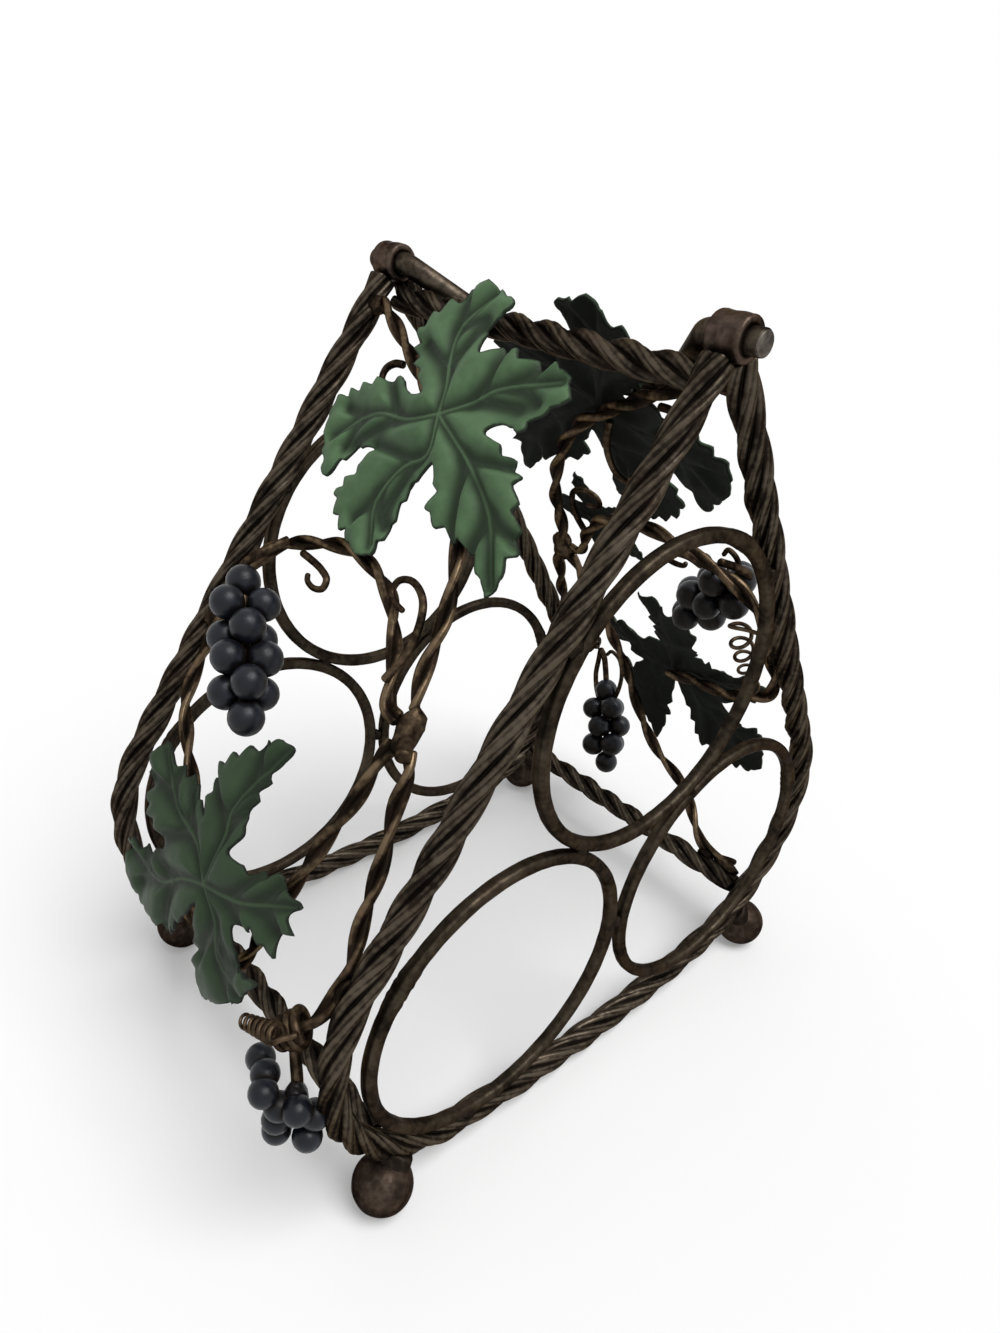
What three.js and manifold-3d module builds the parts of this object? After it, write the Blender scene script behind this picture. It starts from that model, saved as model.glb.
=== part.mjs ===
// A wrought iron table-top wine rack for three bottles, with vine leaves and grapes.
// Two twisted end loops, each bent round three bottle rings, are joined by twisted rails.
// Vines fill the two sloping sides, and a twisted bail handle swings in two collars on top.
// Frame: X runs along the handle, -Y is the front, +Z is up, and the feet stand on Z = 0.

import * as THREE from 'three';
import { mergeVertices } from 'three/addons/utils/BufferGeometryUtils.js';
import Module from 'manifold-3d';

// Driving dimensions, in millimetres and degrees
const SEAT = 0.35;
const RING_RADIUS = 51.6;
const RING_WIRE = 2.5;
const RING_GAP = 2.4;
const LOOP_X = 70.6;
const LEG_ANGLE = 33.8;
const LEG_CLEAR = 6.5;
const CORNER_EASE = 2.4;
const WELD_NIP = 0.25;
const BASE_SAG = 4.6;
const BASE_HEIGHT = 6.3;
const ROPE_RADIUS = 4.6;
const ROPE_ROOT = 3.5;
const ROPE_STRANDS = 4;
const ROPE_PITCH = 72;
const RAIL_RADIUS = 4.7;
const RAIL_ROOT = 3.3;
const RAIL_STRANDS = 3;
const RAIL_PITCH = 45;
const BASE_RAIL_ANGLE = 47;
const FOOT_RADIUS = 10.2;
const FOOT_FLAT = 3;
const FOOT_OUT = 2;
const COLLAR_RADIUS = 6;
const COLLAR_LENGTH = 10.6;
const HANDLE_RADIUS = 3.6;
const HANDLE_CLEAR = 0.35;
const HANDLE_DROP = 43;
const HANDLE_BEND = 5;
const HANDLE_SLOPE = 51;
const HANDLE_END = 4;
const HANDLE_REST = 53;
const GRIP_RADIUS = 4.5;
const GRIP_ROOT = 3.2;
const GRIP_STRANDS = 3;
const GRIP_HALF = 46;
const GRIP_BLEND = 7;
const GRIP_PITCH = 40;
const VINE_RADIUS = 2.7;
const VINE_ROOT = 1.7;
const VINE_STRANDS = 2;
const VINE_PITCH = 26;
const TENDRIL_WIRE = 1.3;
const COIL_WIRE = 0.8;
const COIL_RADIUS = 3.5;
const TIGHT_COIL_RADIUS = 2.6;
const COIL_TIP_SHARE = 0.7;
const LEAF_THICKNESS = 1.4;
const LEAF_NOTCH = 17;
const LEAF_TOOTH = 0.07;
const VEIN_HEIGHT = 0.7;
const LEAF_TAPER = 0.3;
const LEAF_SLOT = 5;
const GRAPE_RADIUS = 5.8;
const SMALL_GRAPE_RADIUS = 4.7;
const GRAPE_CORE = 2.4;
const STEM_RADIUS = 1.5;
const GRAPE_NIP = 0.2;
const KNOT_END_LENGTH = 4;
const TRUNK_LIFT = 2;
const ARCH_LIFT = 4.5;
const TENDRIL_LIFT = 1.5;
const MIDDLE_LEAF_LIFT = 9.8;

// Facets: lengths along the rods, and counts round the other solids
const ROPE_STEP = 9.4;
const RAIL_STEP = 5.4;
const HANDLE_STEP = 4.8;
const VINE_STEP = 7;
const TENDRIL_STEP = 3.4;
const WIRE_SIDES = 5;
const STEM_SIDES = 6;
const RING_SIDES = 6;
const RING_SEGMENTS = 28;
const COLLAR_SEGMENTS = 14;
const FOOT_SEGMENTS = 12;
const FOOT_BANDS = 6;
const BERRY_SEGMENTS = 6;
const BERRY_BANDS = 5;
const LEAF_RAYS = 12;
const LEAF_FOLD = 0.55;
const COIL_STEPS = 8;

const IRON = { color: 0x3b312b, roughness: 0.55, metalness: 0.75 };
const VINE_IRON = { color: 0x4a3a2d, roughness: 0.6, metalness: 0.7 };
const LEAF_GREEN = { color: 0x4b6a50, roughness: 0.6, metalness: 0.1 };
const GRAPE_BLUE = { color: 0x2a2d38, roughness: 0.65, metalness: 0.05 };

const wasm = await Module();
wasm.setup();

function named(name, geometry, look) {
  const mesh = new THREE.Mesh(geometry, new THREE.MeshStandardMaterial(look));
  mesh.name = name;
  return mesh;
}

// Joining: closed geometries with merged corners become one solid, and it comes back as a geometry
function toSolid(geometry) {
  const bare = geometry.clone();
  bare.deleteAttribute('normal');
  bare.deleteAttribute('uv');
  const merged = mergeVertices(bare);
  const mesh = new wasm.Mesh({
    numProp: 3,
    vertProperties: new Float32Array(merged.attributes.position.array),
    triVerts: new Uint32Array(merged.index.array),
  });
  return new wasm.Manifold(mesh);
}

function joined(geometries) {
  const solid = geometries.map(toSolid).reduce((sum, part) => sum.add(part));
  const mesh = solid.getMesh();
  const geometry = new THREE.BufferGeometry();
  geometry.setAttribute('position', new THREE.BufferAttribute(mesh.vertProperties, 3));
  geometry.setIndex(new THREE.BufferAttribute(mesh.triVerts, 1));
  geometry.computeVertexNormals();
  return geometry;
}

// A rod lofted along a curve. Its section turns as it goes, right-handed, once every pitch.
function rod(curve, { reach, sides, step, pitch = Infinity }) {
  const length = curve.getLength();
  const steps = Math.ceil(length / step);
  const frames = curve.computeFrenetFrames(steps, false);
  const corners = [];
  const faces = [];
  for (let i = 0; i <= steps; i += 1) {
    const centre = curve.getPointAt(i / steps);
    const turn = 2 * Math.PI * (i / steps) * (length / pitch);
    for (let j = 0; j < sides; j += 1) {
      const around = 2 * Math.PI * j / sides;
      const corner = centre.clone();
      corner.addScaledVector(frames.normals[i], reach(around, centre) * Math.cos(around + turn));
      corner.addScaledVector(frames.binormals[i], reach(around, centre) * Math.sin(around + turn));
      corners.push(corner);
    }
  }
  const startCap = corners.length;
  const endCap = startCap + 1;
  const last = steps * sides;
  corners.push(curve.getPointAt(0), curve.getPointAt(1));
  for (let j = 0; j < sides; j += 1) {
    const next = (j + 1) % sides;
    for (let low = 0; low < last; low += sides) {
      const high = low + sides;
      faces.push(low + j, low + next, high + j, low + next, high + next, high + j);
    }
    faces.push(startCap, next, j, endCap, last + j, last + next);
  }
  const geometry = new THREE.BufferGeometry().setFromPoints(corners);
  geometry.setIndex(faces);
  geometry.computeVertexNormals();
  return geometry;
}

// Sections for the rods: strands twisted together, or plain round wire
function stranded(radius, root, strands) {
  return (around) => root + (radius - root) * Math.abs(Math.cos(strands * around / 2));
}

function wire(radius) {
  return () => radius;
}

// The three bottle rings stack as a pyramid, and the straight legs of the loop lean on the top one
const leg = THREE.MathUtils.degToRad(LEG_ANGLE);
const ringReach = RING_RADIUS + RING_WIRE;
const lowerRingY = ringReach + RING_GAP / 2;
const lowerRingZ = BASE_HEIGHT + BASE_SAG + LEG_CLEAR + RING_RADIUS;
const upperRingZ = lowerRingZ + Math.sqrt((2 * ringReach - WELD_NIP) ** 2 - lowerRingY ** 2);
const ringX = LOOP_X + Math.sqrt((ROPE_RADIUS + RING_WIRE - WELD_NIP) ** 2 - LEG_CLEAR ** 2);
const crossingZ = upperRingZ + (RING_RADIUS + LEG_CLEAR) / Math.sin(leg);

// The lower corners are arcs round the lower rings, and they meet a base that sags a little
const cornerRadius = RING_RADIUS + LEG_CLEAR + CORNER_EASE;
const cornerZ = BASE_HEIGHT + BASE_SAG + cornerRadius;
const cornerY = (crossingZ - cornerZ) * Math.tan(leg) - cornerRadius / Math.cos(leg);
const baseRadius = (cornerY ** 2 + (cornerRadius + BASE_SAG) ** 2 - cornerRadius ** 2) / (2 * BASE_SAG);
const baseZ = BASE_HEIGHT + baseRadius;
const baseTurn = Math.atan2(cornerY, baseZ - cornerZ);

// The two leg ends leave a fork between their square cut faces, and the collar sits in it
const legEndY = ROPE_RADIUS * Math.cos(leg) + SEAT / 2;
const legEndZ = crossingZ - legEndY / Math.tan(leg);
const axisZ = legEndZ + (COLLAR_RADIUS + SEAT - legEndY * Math.sin(leg)) / Math.cos(leg);
const topRailZ = axisZ - COLLAR_RADIUS - SEAT - RAIL_RADIUS;

const outline = new THREE.Path();
outline.moveTo(-legEndY, legEndZ);
outline.lineTo(-cornerY - cornerRadius * Math.cos(leg), cornerZ + cornerRadius * Math.sin(leg));
outline.absarc(-cornerY, cornerZ, cornerRadius, Math.PI - leg, 1.5 * Math.PI - baseTurn);
outline.absarc(0, baseZ, baseRadius, 1.5 * Math.PI - baseTurn, 1.5 * Math.PI + baseTurn);
outline.absarc(cornerY, cornerZ, cornerRadius, 1.5 * Math.PI + baseTurn, 2 * Math.PI + leg);
outline.lineTo(legEndY, legEndZ);
const halfOutline = outline.getLength() / 2;

class LoopCurve extends THREE.Curve {
  constructor(x) {
    super();
    this.x = x;
  }

  getPoint(t, target = new THREE.Vector3()) {
    const p = outline.getPoint(t);
    return target.set(this.x, p.x, p.y);
  }
}

function endLoop(name, sign) {
  const shape = {
    reach: stranded(ROPE_RADIUS, ROPE_ROOT, ROPE_STRANDS),
    sides: 2 * ROPE_STRANDS,
    step: ROPE_STEP,
    pitch: ROPE_PITCH,
  };
  return named(name, rod(new LoopCurve(sign * LOOP_X), shape), IRON);
}

function bottleRing(name, sign, y, z) {
  const hoop = new THREE.TorusGeometry(RING_RADIUS, RING_WIRE, RING_SIDES, RING_SEGMENTS);
  const ring = named(name, hoop, IRON);
  ring.rotation.y = Math.PI / 2;
  ring.position.set(sign * ringX, y, z);
  return ring;
}

// A collar is a short sleeve with eased rims round the handle's axis
function collar(name, sign) {
  const half = COLLAR_LENGTH / 2;
  const bore = HANDLE_RADIUS + HANDLE_CLEAR;
  const ease = (COLLAR_RADIUS - bore) / 3;
  const profile = [
    new THREE.Vector2(bore, -half),
    new THREE.Vector2(COLLAR_RADIUS - ease, -half),
    new THREE.Vector2(COLLAR_RADIUS, ease - half),
    new THREE.Vector2(COLLAR_RADIUS, half - ease),
    new THREE.Vector2(COLLAR_RADIUS - ease, half),
    new THREE.Vector2(bore, half),
    new THREE.Vector2(bore, -half),
  ];
  const sleeve = named(name, new THREE.LatheGeometry(profile, COLLAR_SEGMENTS), IRON);
  sleeve.rotation.z = -Math.PI / 2;
  sleeve.position.set(sign * LOOP_X, 0, axisZ);
  return sleeve;
}

// A ball foot with a small flat under it, seated on the outside of a lower corner
function foot(name, xSign, ySign) {
  const lift = Math.sqrt(FOOT_RADIUS ** 2 - FOOT_FLAT ** 2);
  const start = Math.asin(FOOT_FLAT / FOOT_RADIUS);
  const profile = [new THREE.Vector2(0, -lift)];
  for (let i = 0; i < FOOT_BANDS; i += 1) {
    const angle = start + (Math.PI - start) * i / FOOT_BANDS;
    profile.push(new THREE.Vector2(FOOT_RADIUS * Math.sin(angle), -FOOT_RADIUS * Math.cos(angle)));
  }
  profile.push(new THREE.Vector2(0, FOOT_RADIUS));
  const weld = ROPE_RADIUS - WELD_NIP + FOOT_RADIUS;
  const reach = cornerRadius + Math.sqrt(weld ** 2 - FOOT_OUT ** 2);
  const across = Math.sqrt(reach ** 2 - (cornerZ - lift) ** 2);
  const ball = named(name, new THREE.LatheGeometry(profile, FOOT_SEGMENTS), IRON);
  ball.rotation.x = Math.PI / 2;
  ball.position.set(xSign * (LOOP_X + FOOT_OUT), ySign * (cornerY + across), lift);
  return ball;
}

// Straight twisted rails run from loop to loop, one along each lower corner and one under the collars,
// where the legs lean apart and the rail reaches a little way between them
function rail(name, y, z, reachIn = 0) {
  const half = LOOP_X - ROPE_RADIUS - SEAT + reachIn;
  const line = new THREE.LineCurve3(new THREE.Vector3(-half, y, z), new THREE.Vector3(half, y, z));
  const shape = {
    reach: stranded(RAIL_RADIUS, RAIL_ROOT, RAIL_STRANDS),
    sides: 2 * RAIL_STRANDS,
    step: RAIL_STEP,
    pitch: RAIL_PITCH,
  };
  return named(name, rod(line, shape), IRON);
}

// The handle is one bent rod: plain pins in the collars, bends, sloping arms and a twisted arched grip
function handle() {
  const slope = THREE.MathUtils.degToRad(HANDLE_SLOPE);
  const bendX = LOOP_X - COLLAR_LENGTH / 2 - SEAT;
  const armX = bendX - HANDLE_BEND * Math.sin(slope);
  const armDrop = HANDLE_BEND * (1 - Math.cos(slope));
  const archRadius = (armDrop + armX * Math.tan(slope) - HANDLE_DROP) / (1 / Math.cos(slope) - 1);
  const endX = LOOP_X + COLLAR_LENGTH / 2 + HANDLE_END;
  const bow = new THREE.Path();
  bow.moveTo(-endX, 0);
  bow.lineTo(-bendX, 0);
  bow.absarc(-bendX, -HANDLE_BEND, HANDLE_BEND, Math.PI / 2, Math.PI / 2 - slope, true);
  bow.absarc(0, archRadius - HANDLE_DROP, archRadius, 1.5 * Math.PI - slope, 1.5 * Math.PI + slope);
  bow.absarc(bendX, -HANDLE_BEND, HANDLE_BEND, Math.PI / 2 + slope, Math.PI / 2, true);
  bow.lineTo(endX, 0);
  class BowCurve extends THREE.Curve {
    getPoint(t, target = new THREE.Vector3()) {
      const p = bow.getPoint(t);
      return target.set(p.x, 0, p.y);
    }
  }
  const twist = stranded(GRIP_RADIUS, GRIP_ROOT, GRIP_STRANDS);
  const reach = (around, centre) => {
    const plain = THREE.MathUtils.smoothstep(Math.abs(centre.x), GRIP_HALF - GRIP_BLEND, GRIP_HALF);
    return THREE.MathUtils.lerp(twist(around), HANDLE_RADIUS, plain);
  };
  const shape = { reach, sides: 3 * GRIP_STRANDS, step: HANDLE_STEP, pitch: GRIP_PITCH };
  const bail = named('handle', rod(new BowCurve(), shape), IRON);
  bail.position.z = axisZ;
  bail.rotation.x = THREE.MathUtils.degToRad(HANDLE_REST);
  return bail;
}

// A point on the skin that the two loops span in front. u runs from -1 at the left loop to 1 at the
// right one, f from 0 at the top to 1 at the middle of the base, and lift is the height above it.
function skin([u, f, lift]) {
  const p = outline.getPoint(f / 2);
  const d = outline.getTangent(Math.max(f, 0) / 2);
  return new THREE.Vector3(u * LOOP_X, p.x + d.y * lift, p.y - d.x * lift);
}

function route(points) {
  return new THREE.CatmullRomCurve3(points.map(skin));
}

function vine(name, points) {
  const shape = {
    reach: stranded(VINE_RADIUS, VINE_ROOT, VINE_STRANDS),
    sides: 3 * VINE_STRANDS,
    step: VINE_STEP,
    pitch: VINE_PITCH,
  };
  return named(name, rod(route(points), shape), VINE_IRON);
}

function tendril(name, points) {
  const shape = { reach: wire(TENDRIL_WIRE), sides: WIRE_SIDES, step: TENDRIL_STEP };
  return named(name, rod(route(points), shape), VINE_IRON);
}

// The vines of a side meet at a knot, and each ends square to it, at its own angle round it
const KNOT = [0.57, 0.327, 0];
const knotRadius = 2 * VINE_RADIUS;

function atKnot(degrees, extra = 0) {
  const angle = THREE.MathUtils.degToRad(degrees);
  const reach = knotRadius + SEAT + extra;
  return [KNOT[0] + reach * Math.cos(angle) / LOOP_X, KNOT[1] - reach * Math.sin(angle) / halfOutline, 0];
}

function knot(name) {
  const [u, f] = KNOT;
  const lump = new THREE.IcosahedronGeometry(knotRadius, 1);
  lump.translate(...skin(KNOT).toArray());
  const cutEnd = route([[u, f, 0], [u, f, knotRadius + KNOT_END_LENGTH]]);
  const stub = rod(cutEnd, { reach: wire(STEM_RADIUS), sides: STEM_SIDES, step: 2 * knotRadius });
  return named(name, joined([lump, stub]), VINE_IRON);
}

// A vine leaf is an embossed plate that drapes over the skin. Between one lobe and the next the
// outline runs in to a notch and out again with teeth, and a vein ridge runs out along each lobe.
function leaf({ at, lobes, droop, notch = LEAF_NOTCH, stalk = 0 }) {
  const [u0, f0, lift0] = at;
  const longest = Math.max(...lobes.map(([, reach]) => reach));
  const rays = [];
  lobes.forEach(([angle, reach], i) => {
    const [nextAngle, nextReach] = lobes[(i + 1) % lobes.length];
    const sweep = THREE.MathUtils.euclideanModulo(nextAngle - angle, 360);
    for (let k = 0; k < LEAF_RAYS; k += 1) {
      const inward = 1 - Math.abs(1 - 2 * k / LEAF_RAYS);
      const tip = 2 * k <= LEAF_RAYS ? reach : nextReach;
      const edge = tip * (1 - LEAF_TAPER * inward) * (k % 2 ? 1 - LEAF_TOOTH : 1);
      const length = THREE.MathUtils.lerp(edge, notch, inward ** LEAF_SLOT);
      rays.push({ angle: THREE.MathUtils.degToRad(angle + sweep * k / LEAF_RAYS), length, inward });
    }
  });
  const corners = [];
  for (const side of [0.5, -0.5]) {
    const face = lift0 + side * LEAF_THICKNESS;
    corners.push(skin([u0, f0, face]));
    for (const share of [LEAF_FOLD, 1]) {
      for (const { angle, length, inward } of rays) {
        const r = length * share;
        const emboss = share < 1 ? VEIN_HEIGHT * (1 - 2 * inward) : 0;
        const lift = face + emboss - droop * (r / longest) ** 2;
        corners.push(skin([u0 + r * Math.cos(angle) / LOOP_X, f0 - r * Math.sin(angle) / halfOutline, lift]));
      }
    }
  }
  const count = rays.length;
  const under = 1 + 2 * count;
  const faces = [];
  for (let j = 0; j < count; j += 1) {
    const k = (j + 1) % count;
    const [midJ, midK, rimJ, rimK] = [1 + j, 1 + k, 1 + count + j, 1 + count + k];
    faces.push(0, midJ, midK, midJ, rimJ, rimK, midJ, rimK, midK);
    faces.push(under, under + midK, under + midJ, under + midJ, under + rimK, under + rimJ);
    faces.push(under + midJ, under + midK, under + rimK);
    faces.push(rimJ, under + rimJ, under + rimK, rimJ, under + rimK, rimK);
  }
  const plate = new THREE.BufferGeometry().setFromPoints(corners);
  plate.setIndex(faces);
  plate.computeVertexNormals();
  if (stalk === 0) return plate;
  const post = rod(route([[u0, f0, lift0 - stalk], [u0, f0, lift0]]), {
    reach: wire(TENDRIL_WIRE), sides: WIRE_SIDES, step: stalk,
  });
  return joined([plate, post]);
}

// A bunch of grapes: rows of berries that touch, packed round a stem that hangs from the vine
function bunch(name, hang, from, to, rows, radius = GRAPE_RADIUS) {
  const top = skin(from);
  const axis = skin(to).sub(top).normalize();
  const across = new THREE.Vector3(1, 0, 0).cross(axis).normalize();
  const along = axis.clone().cross(across);
  const rowStep = radius * Math.sqrt(8 / 3);
  const berries = [];
  const spine = [];
  rows.forEach((count, row) => {
    const middle = top.clone().addScaledVector(axis, radius + rowStep * row);
    spine.push(middle);
    const spread = count === 1 ? 0 : radius / Math.sin(Math.PI / count);
    for (let i = 0; i < count; i += 1) {
      const angle = 2 * Math.PI * i / count + row * Math.PI / 3;
      const centre = middle.clone().addScaledVector(across, spread * Math.cos(angle));
      centre.addScaledVector(along, spread * Math.sin(angle));
      const berry = new THREE.SphereGeometry(radius, BERRY_SEGMENTS, BERRY_BANDS);
      berries.push(berry.translate(...centre.toArray()));
    }
  });
  const stalk = new THREE.CatmullRomCurve3([...hang.map(skin), top, spine[0]]);
  const stem = rod(stalk, { reach: wire(STEM_RADIUS), sides: STEM_SIDES, step: radius });
  const coreLine = new THREE.LineCurve3(spine[0], spine.at(-1));
  const core = rod(coreLine, { reach: wire(GRAPE_CORE), sides: STEM_SIDES, step: coreLine.getLength() });
  return named(name, joined([stem, core, ...berries]), GRAPE_BLUE);
}

// A coiled tendril: a straight start at the vine, then turns that tighten towards its tip
function coil(name, lead, from, to, turns, startRadius) {
  const base = skin(from);
  const axis = skin(to).sub(base);
  const across = new THREE.Vector3(0, 0, 1).cross(axis).normalize();
  const up = axis.clone().normalize().cross(across);
  const points = lead.map(skin);
  for (let i = 0; i <= turns * COIL_STEPS; i += 1) {
    const share = i / (turns * COIL_STEPS);
    const angle = 2 * Math.PI * i / COIL_STEPS;
    const radius = startRadius * THREE.MathUtils.lerp(1, COIL_TIP_SHARE, share);
    const point = base.clone().addScaledVector(axis, share);
    point.addScaledVector(across, radius * Math.cos(angle));
    points.push(point.addScaledVector(up, radius * Math.sin(angle)));
  }
  const curve = new THREE.CatmullRomCurve3(points);
  const step = curve.getLength() / (turns * COIL_STEPS);
  let least = Infinity;
  points.forEach((point, i) => {
    for (const other of points.slice(i + COIL_STEPS / 2)) least = Math.min(least, point.distanceTo(other));
  });
  console.log(`${name}: least gap to itself ${(least - 2 * COIL_WIRE).toFixed(2)} mm`);
  return named(name, rod(curve, { reach: wire(COIL_WIRE), sides: WIRE_SIDES, step }), VINE_IRON);
}

// One vine side, laid out on the front skin. The back side is the same, turned half round.
const legFace = (LOOP_X - ROPE_RADIUS) / LOOP_X;
const legSide = legFace - VINE_RADIUS / LOOP_X;
const onVine = VINE_RADIUS + SEAT + TENDRIL_WIRE;
const leafOnVine = VINE_RADIUS + SEAT + (VEIN_HEIGHT + LEAF_THICKNESS) / 2;
const baseRail = THREE.MathUtils.degToRad(BASE_RAIL_ANGLE);
const railReach = outline.curves[0].getLength() + cornerRadius * (leg + baseRail);
const besideRail = (railReach - RAIL_RADIUS - VINE_RADIUS - SEAT) / halfOutline;

function vineSide(side) {
  const group = new THREE.Group();
  group.add(vine(`${side}_trunk_vine`, [
    [0.003 - legFace, 0.024, 0], [-0.88, 0.025, 0], [-0.69, 0.043, 0.5], [-0.54, 0.057, 1],
    [-0.2, 0.093, TRUNK_LIFT], [0.1, 0.131, 1], [0.31, 0.187, -0.5], [0.43, 0.24, -1],
    atKnot(110, 10), atKnot(110),
  ]));
  group.add(vine(`${side}_arch_vine`, [
    atKnot(172), atKnot(170, 6), [0.347, 0.303, 0], [0.268, 0.279, 0], [0.146, 0.254, 0], [0.05, 0.242, 0],
    [-0.08, 0.234, 0], [-0.234, 0.23, 0], [-0.39, 0.234, 0], [-0.57, 0.245, 0], [-0.75, 0.261, 0],
    [-0.84, 0.282, 0], [-legSide, 0.315, 0], [-legSide, 0.35, 0], [-legSide, 0.388, 0], [-0.84, 0.432, 0],
    [-0.69, 0.458, 0], [-0.45, 0.486, 1], [-0.2, 0.506, ARCH_LIFT - 1], [0.05, 0.522, ARCH_LIFT],
  ]));
  group.add(vine(`${side}_corner_vine`, [
    atKnot(-115), atKnot(-112, 6), [0.5, 0.39, 0], [0.46, 0.43, 0], [0.42, 0.475, -0.5], [0.36, 0.53, -1.5],
    [0.22, 0.588, -2], [0, 0.628, -2], [-0.3, 0.655, -1], [-0.62, besideRail, 0], [-0.86, besideRail, 0],
  ]));
  group.add(vine(`${side}_leg_vine`, [
    atKnot(-50), atKnot(-52, 6), [0.7, 0.377, 0], [0.775, 0.416, 0], [0.83, 0.458, 0], [legSide, 0.497, 0],
    [legSide, 0.523, 0.5], [legSide - 0.01, 0.54, 4], [0.84, 0.552, 9], [0.78, 0.56, 11],
  ]));
  group.add(knot(`${side}_vine_knot`));

  group.add(named(`${side}_upper_leaf`, leaf({
    at: [-0.08, 0.102, TRUNK_LIFT + leafOnVine],
    lobes: [[-35, 67], [22, 49], [104, 42], [205, 49], [263, 49]],
    droop: 6,
  }), LEAF_GREEN));
  group.add(named(`${side}_lower_leaf`, leaf({
    at: [0.04, 0.527, ARCH_LIFT + leafOnVine],
    lobes: [[20, 43], [90, 51], [160, 60], [207, 58], [318, 42]],
    droop: 5,
  }), LEAF_GREEN));

  group.add(bunch(`${side}_upper_grapes`,
    [[-0.64, 0.25, VINE_RADIUS + SEAT + GRAPE_NIP], [-0.67, 0.272, 9]], [-0.69, 0.29, 12], [-0.11, 0.41, 10],
    [1, 3, 3, 3, 3, 1]));

  group.add(tendril(`${side}_arch_tendril`, [
    [-0.56, 0.2545, 0], [-0.46, 0.2555, TENDRIL_LIFT], [-0.36, 0.258, TENDRIL_LIFT],
    [-0.29, 0.263, TENDRIL_LIFT], [-0.285, 0.271, TENDRIL_LIFT], [-0.34, 0.275, TENDRIL_LIFT],
    [-0.41, 0.2725, TENDRIL_LIFT], [-0.43, 0.267, TENDRIL_LIFT],
  ]));
  group.add(tendril(`${side}_loop_tendril`, [
    [0.36, 0.3045, onVine - 2 * SEAT], [0.41, 0.28, onVine], [0.4, 0.255, onVine], [0.36, 0.2385, onVine],
    [0.3, 0.2305, onVine], [0.23, 0.228, onVine], [0.17, 0.233, onVine], [0.165, 0.243, onVine],
    [0.22, 0.249, onVine], [0.28, 0.251, onVine],
  ]));
  group.add(tendril(`${side}_top_tendril`, [
    [-0.523, 0.07, 1], [-0.58, 0.072, TENDRIL_LIFT], [-0.62, 0.0785, TENDRIL_LIFT],
    [-0.615, 0.087, TENDRIL_LIFT], [-0.57, 0.092, TENDRIL_LIFT],
  ]));
  group.add(tendril(`${side}_hook_tendril`, [
    [-0.17, 0.1075, TRUNK_LIFT], [-0.13, 0.128, 1], [-0.1, 0.15, 1], [-0.115, 0.17, 1], [-0.18, 0.177, 1],
    [-0.22, 0.168, 1],
  ]));
  return group;
}

const front = vineSide('front');
front.add(bunch('front_lower_grapes',
  [[0.84, 0.561, 8.35], [0.845, 0.569, 8.4]], [0.85, 0.5775, 8.8], [0.8, 0.635, 13], [1, 3, 3, 2],
  SMALL_GRAPE_RADIUS));
front.add(coil('front_coil_tendril', [[0.875, 0.5455, 10.6], [0.935, 0.538, 12.5]],
  [0.885, 0.5425, 15.2], [0.64, 0.5615, 15], 6, TIGHT_COIL_RADIUS));

const back = vineSide('back');
back.add(bunch('back_lower_grapes',
  [[0.771, 0.5618, 11.6], [0.75, 0.572, 13]], [0.71, 0.6, 14], [0.4, 0.7, 16], [1, 3, 3, 3, 1]));
back.add(coil('back_coil_tendril', [[-0.86, 0.325, 0], [-0.79, 0.328, 0]],
  [-0.7, 0.34, 1], [-0.7, 0.425, 1], 5, COIL_RADIUS));
back.add(named('back_middle_leaf', leaf({
  at: [0.29, 0.286, MIDDLE_LEAF_LIFT],
  lobes: [[15, 24], [80, 26], [150, 26], [215, 24], [275, 22]],
  droop: 2,
  notch: 10,
  stalk: MIDDLE_LEAF_LIFT - VINE_RADIUS - SEAT,
}), LEAF_GREEN));
back.rotation.z = Math.PI;

const rack = new THREE.Group();
for (const [side, sign] of [['right', 1], ['left', -1]]) {
  rack.add(endLoop(`${side}_end_loop`, sign));
  rack.add(bottleRing(`${side}_upper_ring`, sign, 0, upperRingZ));
  rack.add(bottleRing(`${side}_front_ring`, sign, -lowerRingY, lowerRingZ));
  rack.add(bottleRing(`${side}_back_ring`, sign, lowerRingY, lowerRingZ));
  rack.add(collar(`${side}_collar`, sign));
  rack.add(foot(`${side}_front_foot`, sign, -1));
  rack.add(foot(`${side}_back_foot`, sign, 1));
}
const baseRailY = cornerY + cornerRadius * Math.cos(baseRail);
const baseRailZ = cornerZ - cornerRadius * Math.sin(baseRail);
rack.add(rail('front_base_rail', -baseRailY, baseRailZ));
rack.add(rail('back_base_rail', baseRailY, baseRailZ));
rack.add(rail('top_rail', 0, topRailZ, 2 * SEAT));
rack.add(handle());
rack.add(front, back);

// The middle of the rack's box stands over the origin
const stand = new THREE.Group();
const box = new THREE.Box3().setFromObject(rack);
rack.position.y = -box.getCenter(new THREE.Vector3()).y;
stand.add(rack);

export default stand;
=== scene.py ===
from functools import partial
from itertools import combinations, product
from math import asin, atan2, cos, hypot, inf, pi, radians, sin, sqrt, tan
import bpy
import numpy as np
from mathutils import Matrix, Vector, geometry, noise


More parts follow.
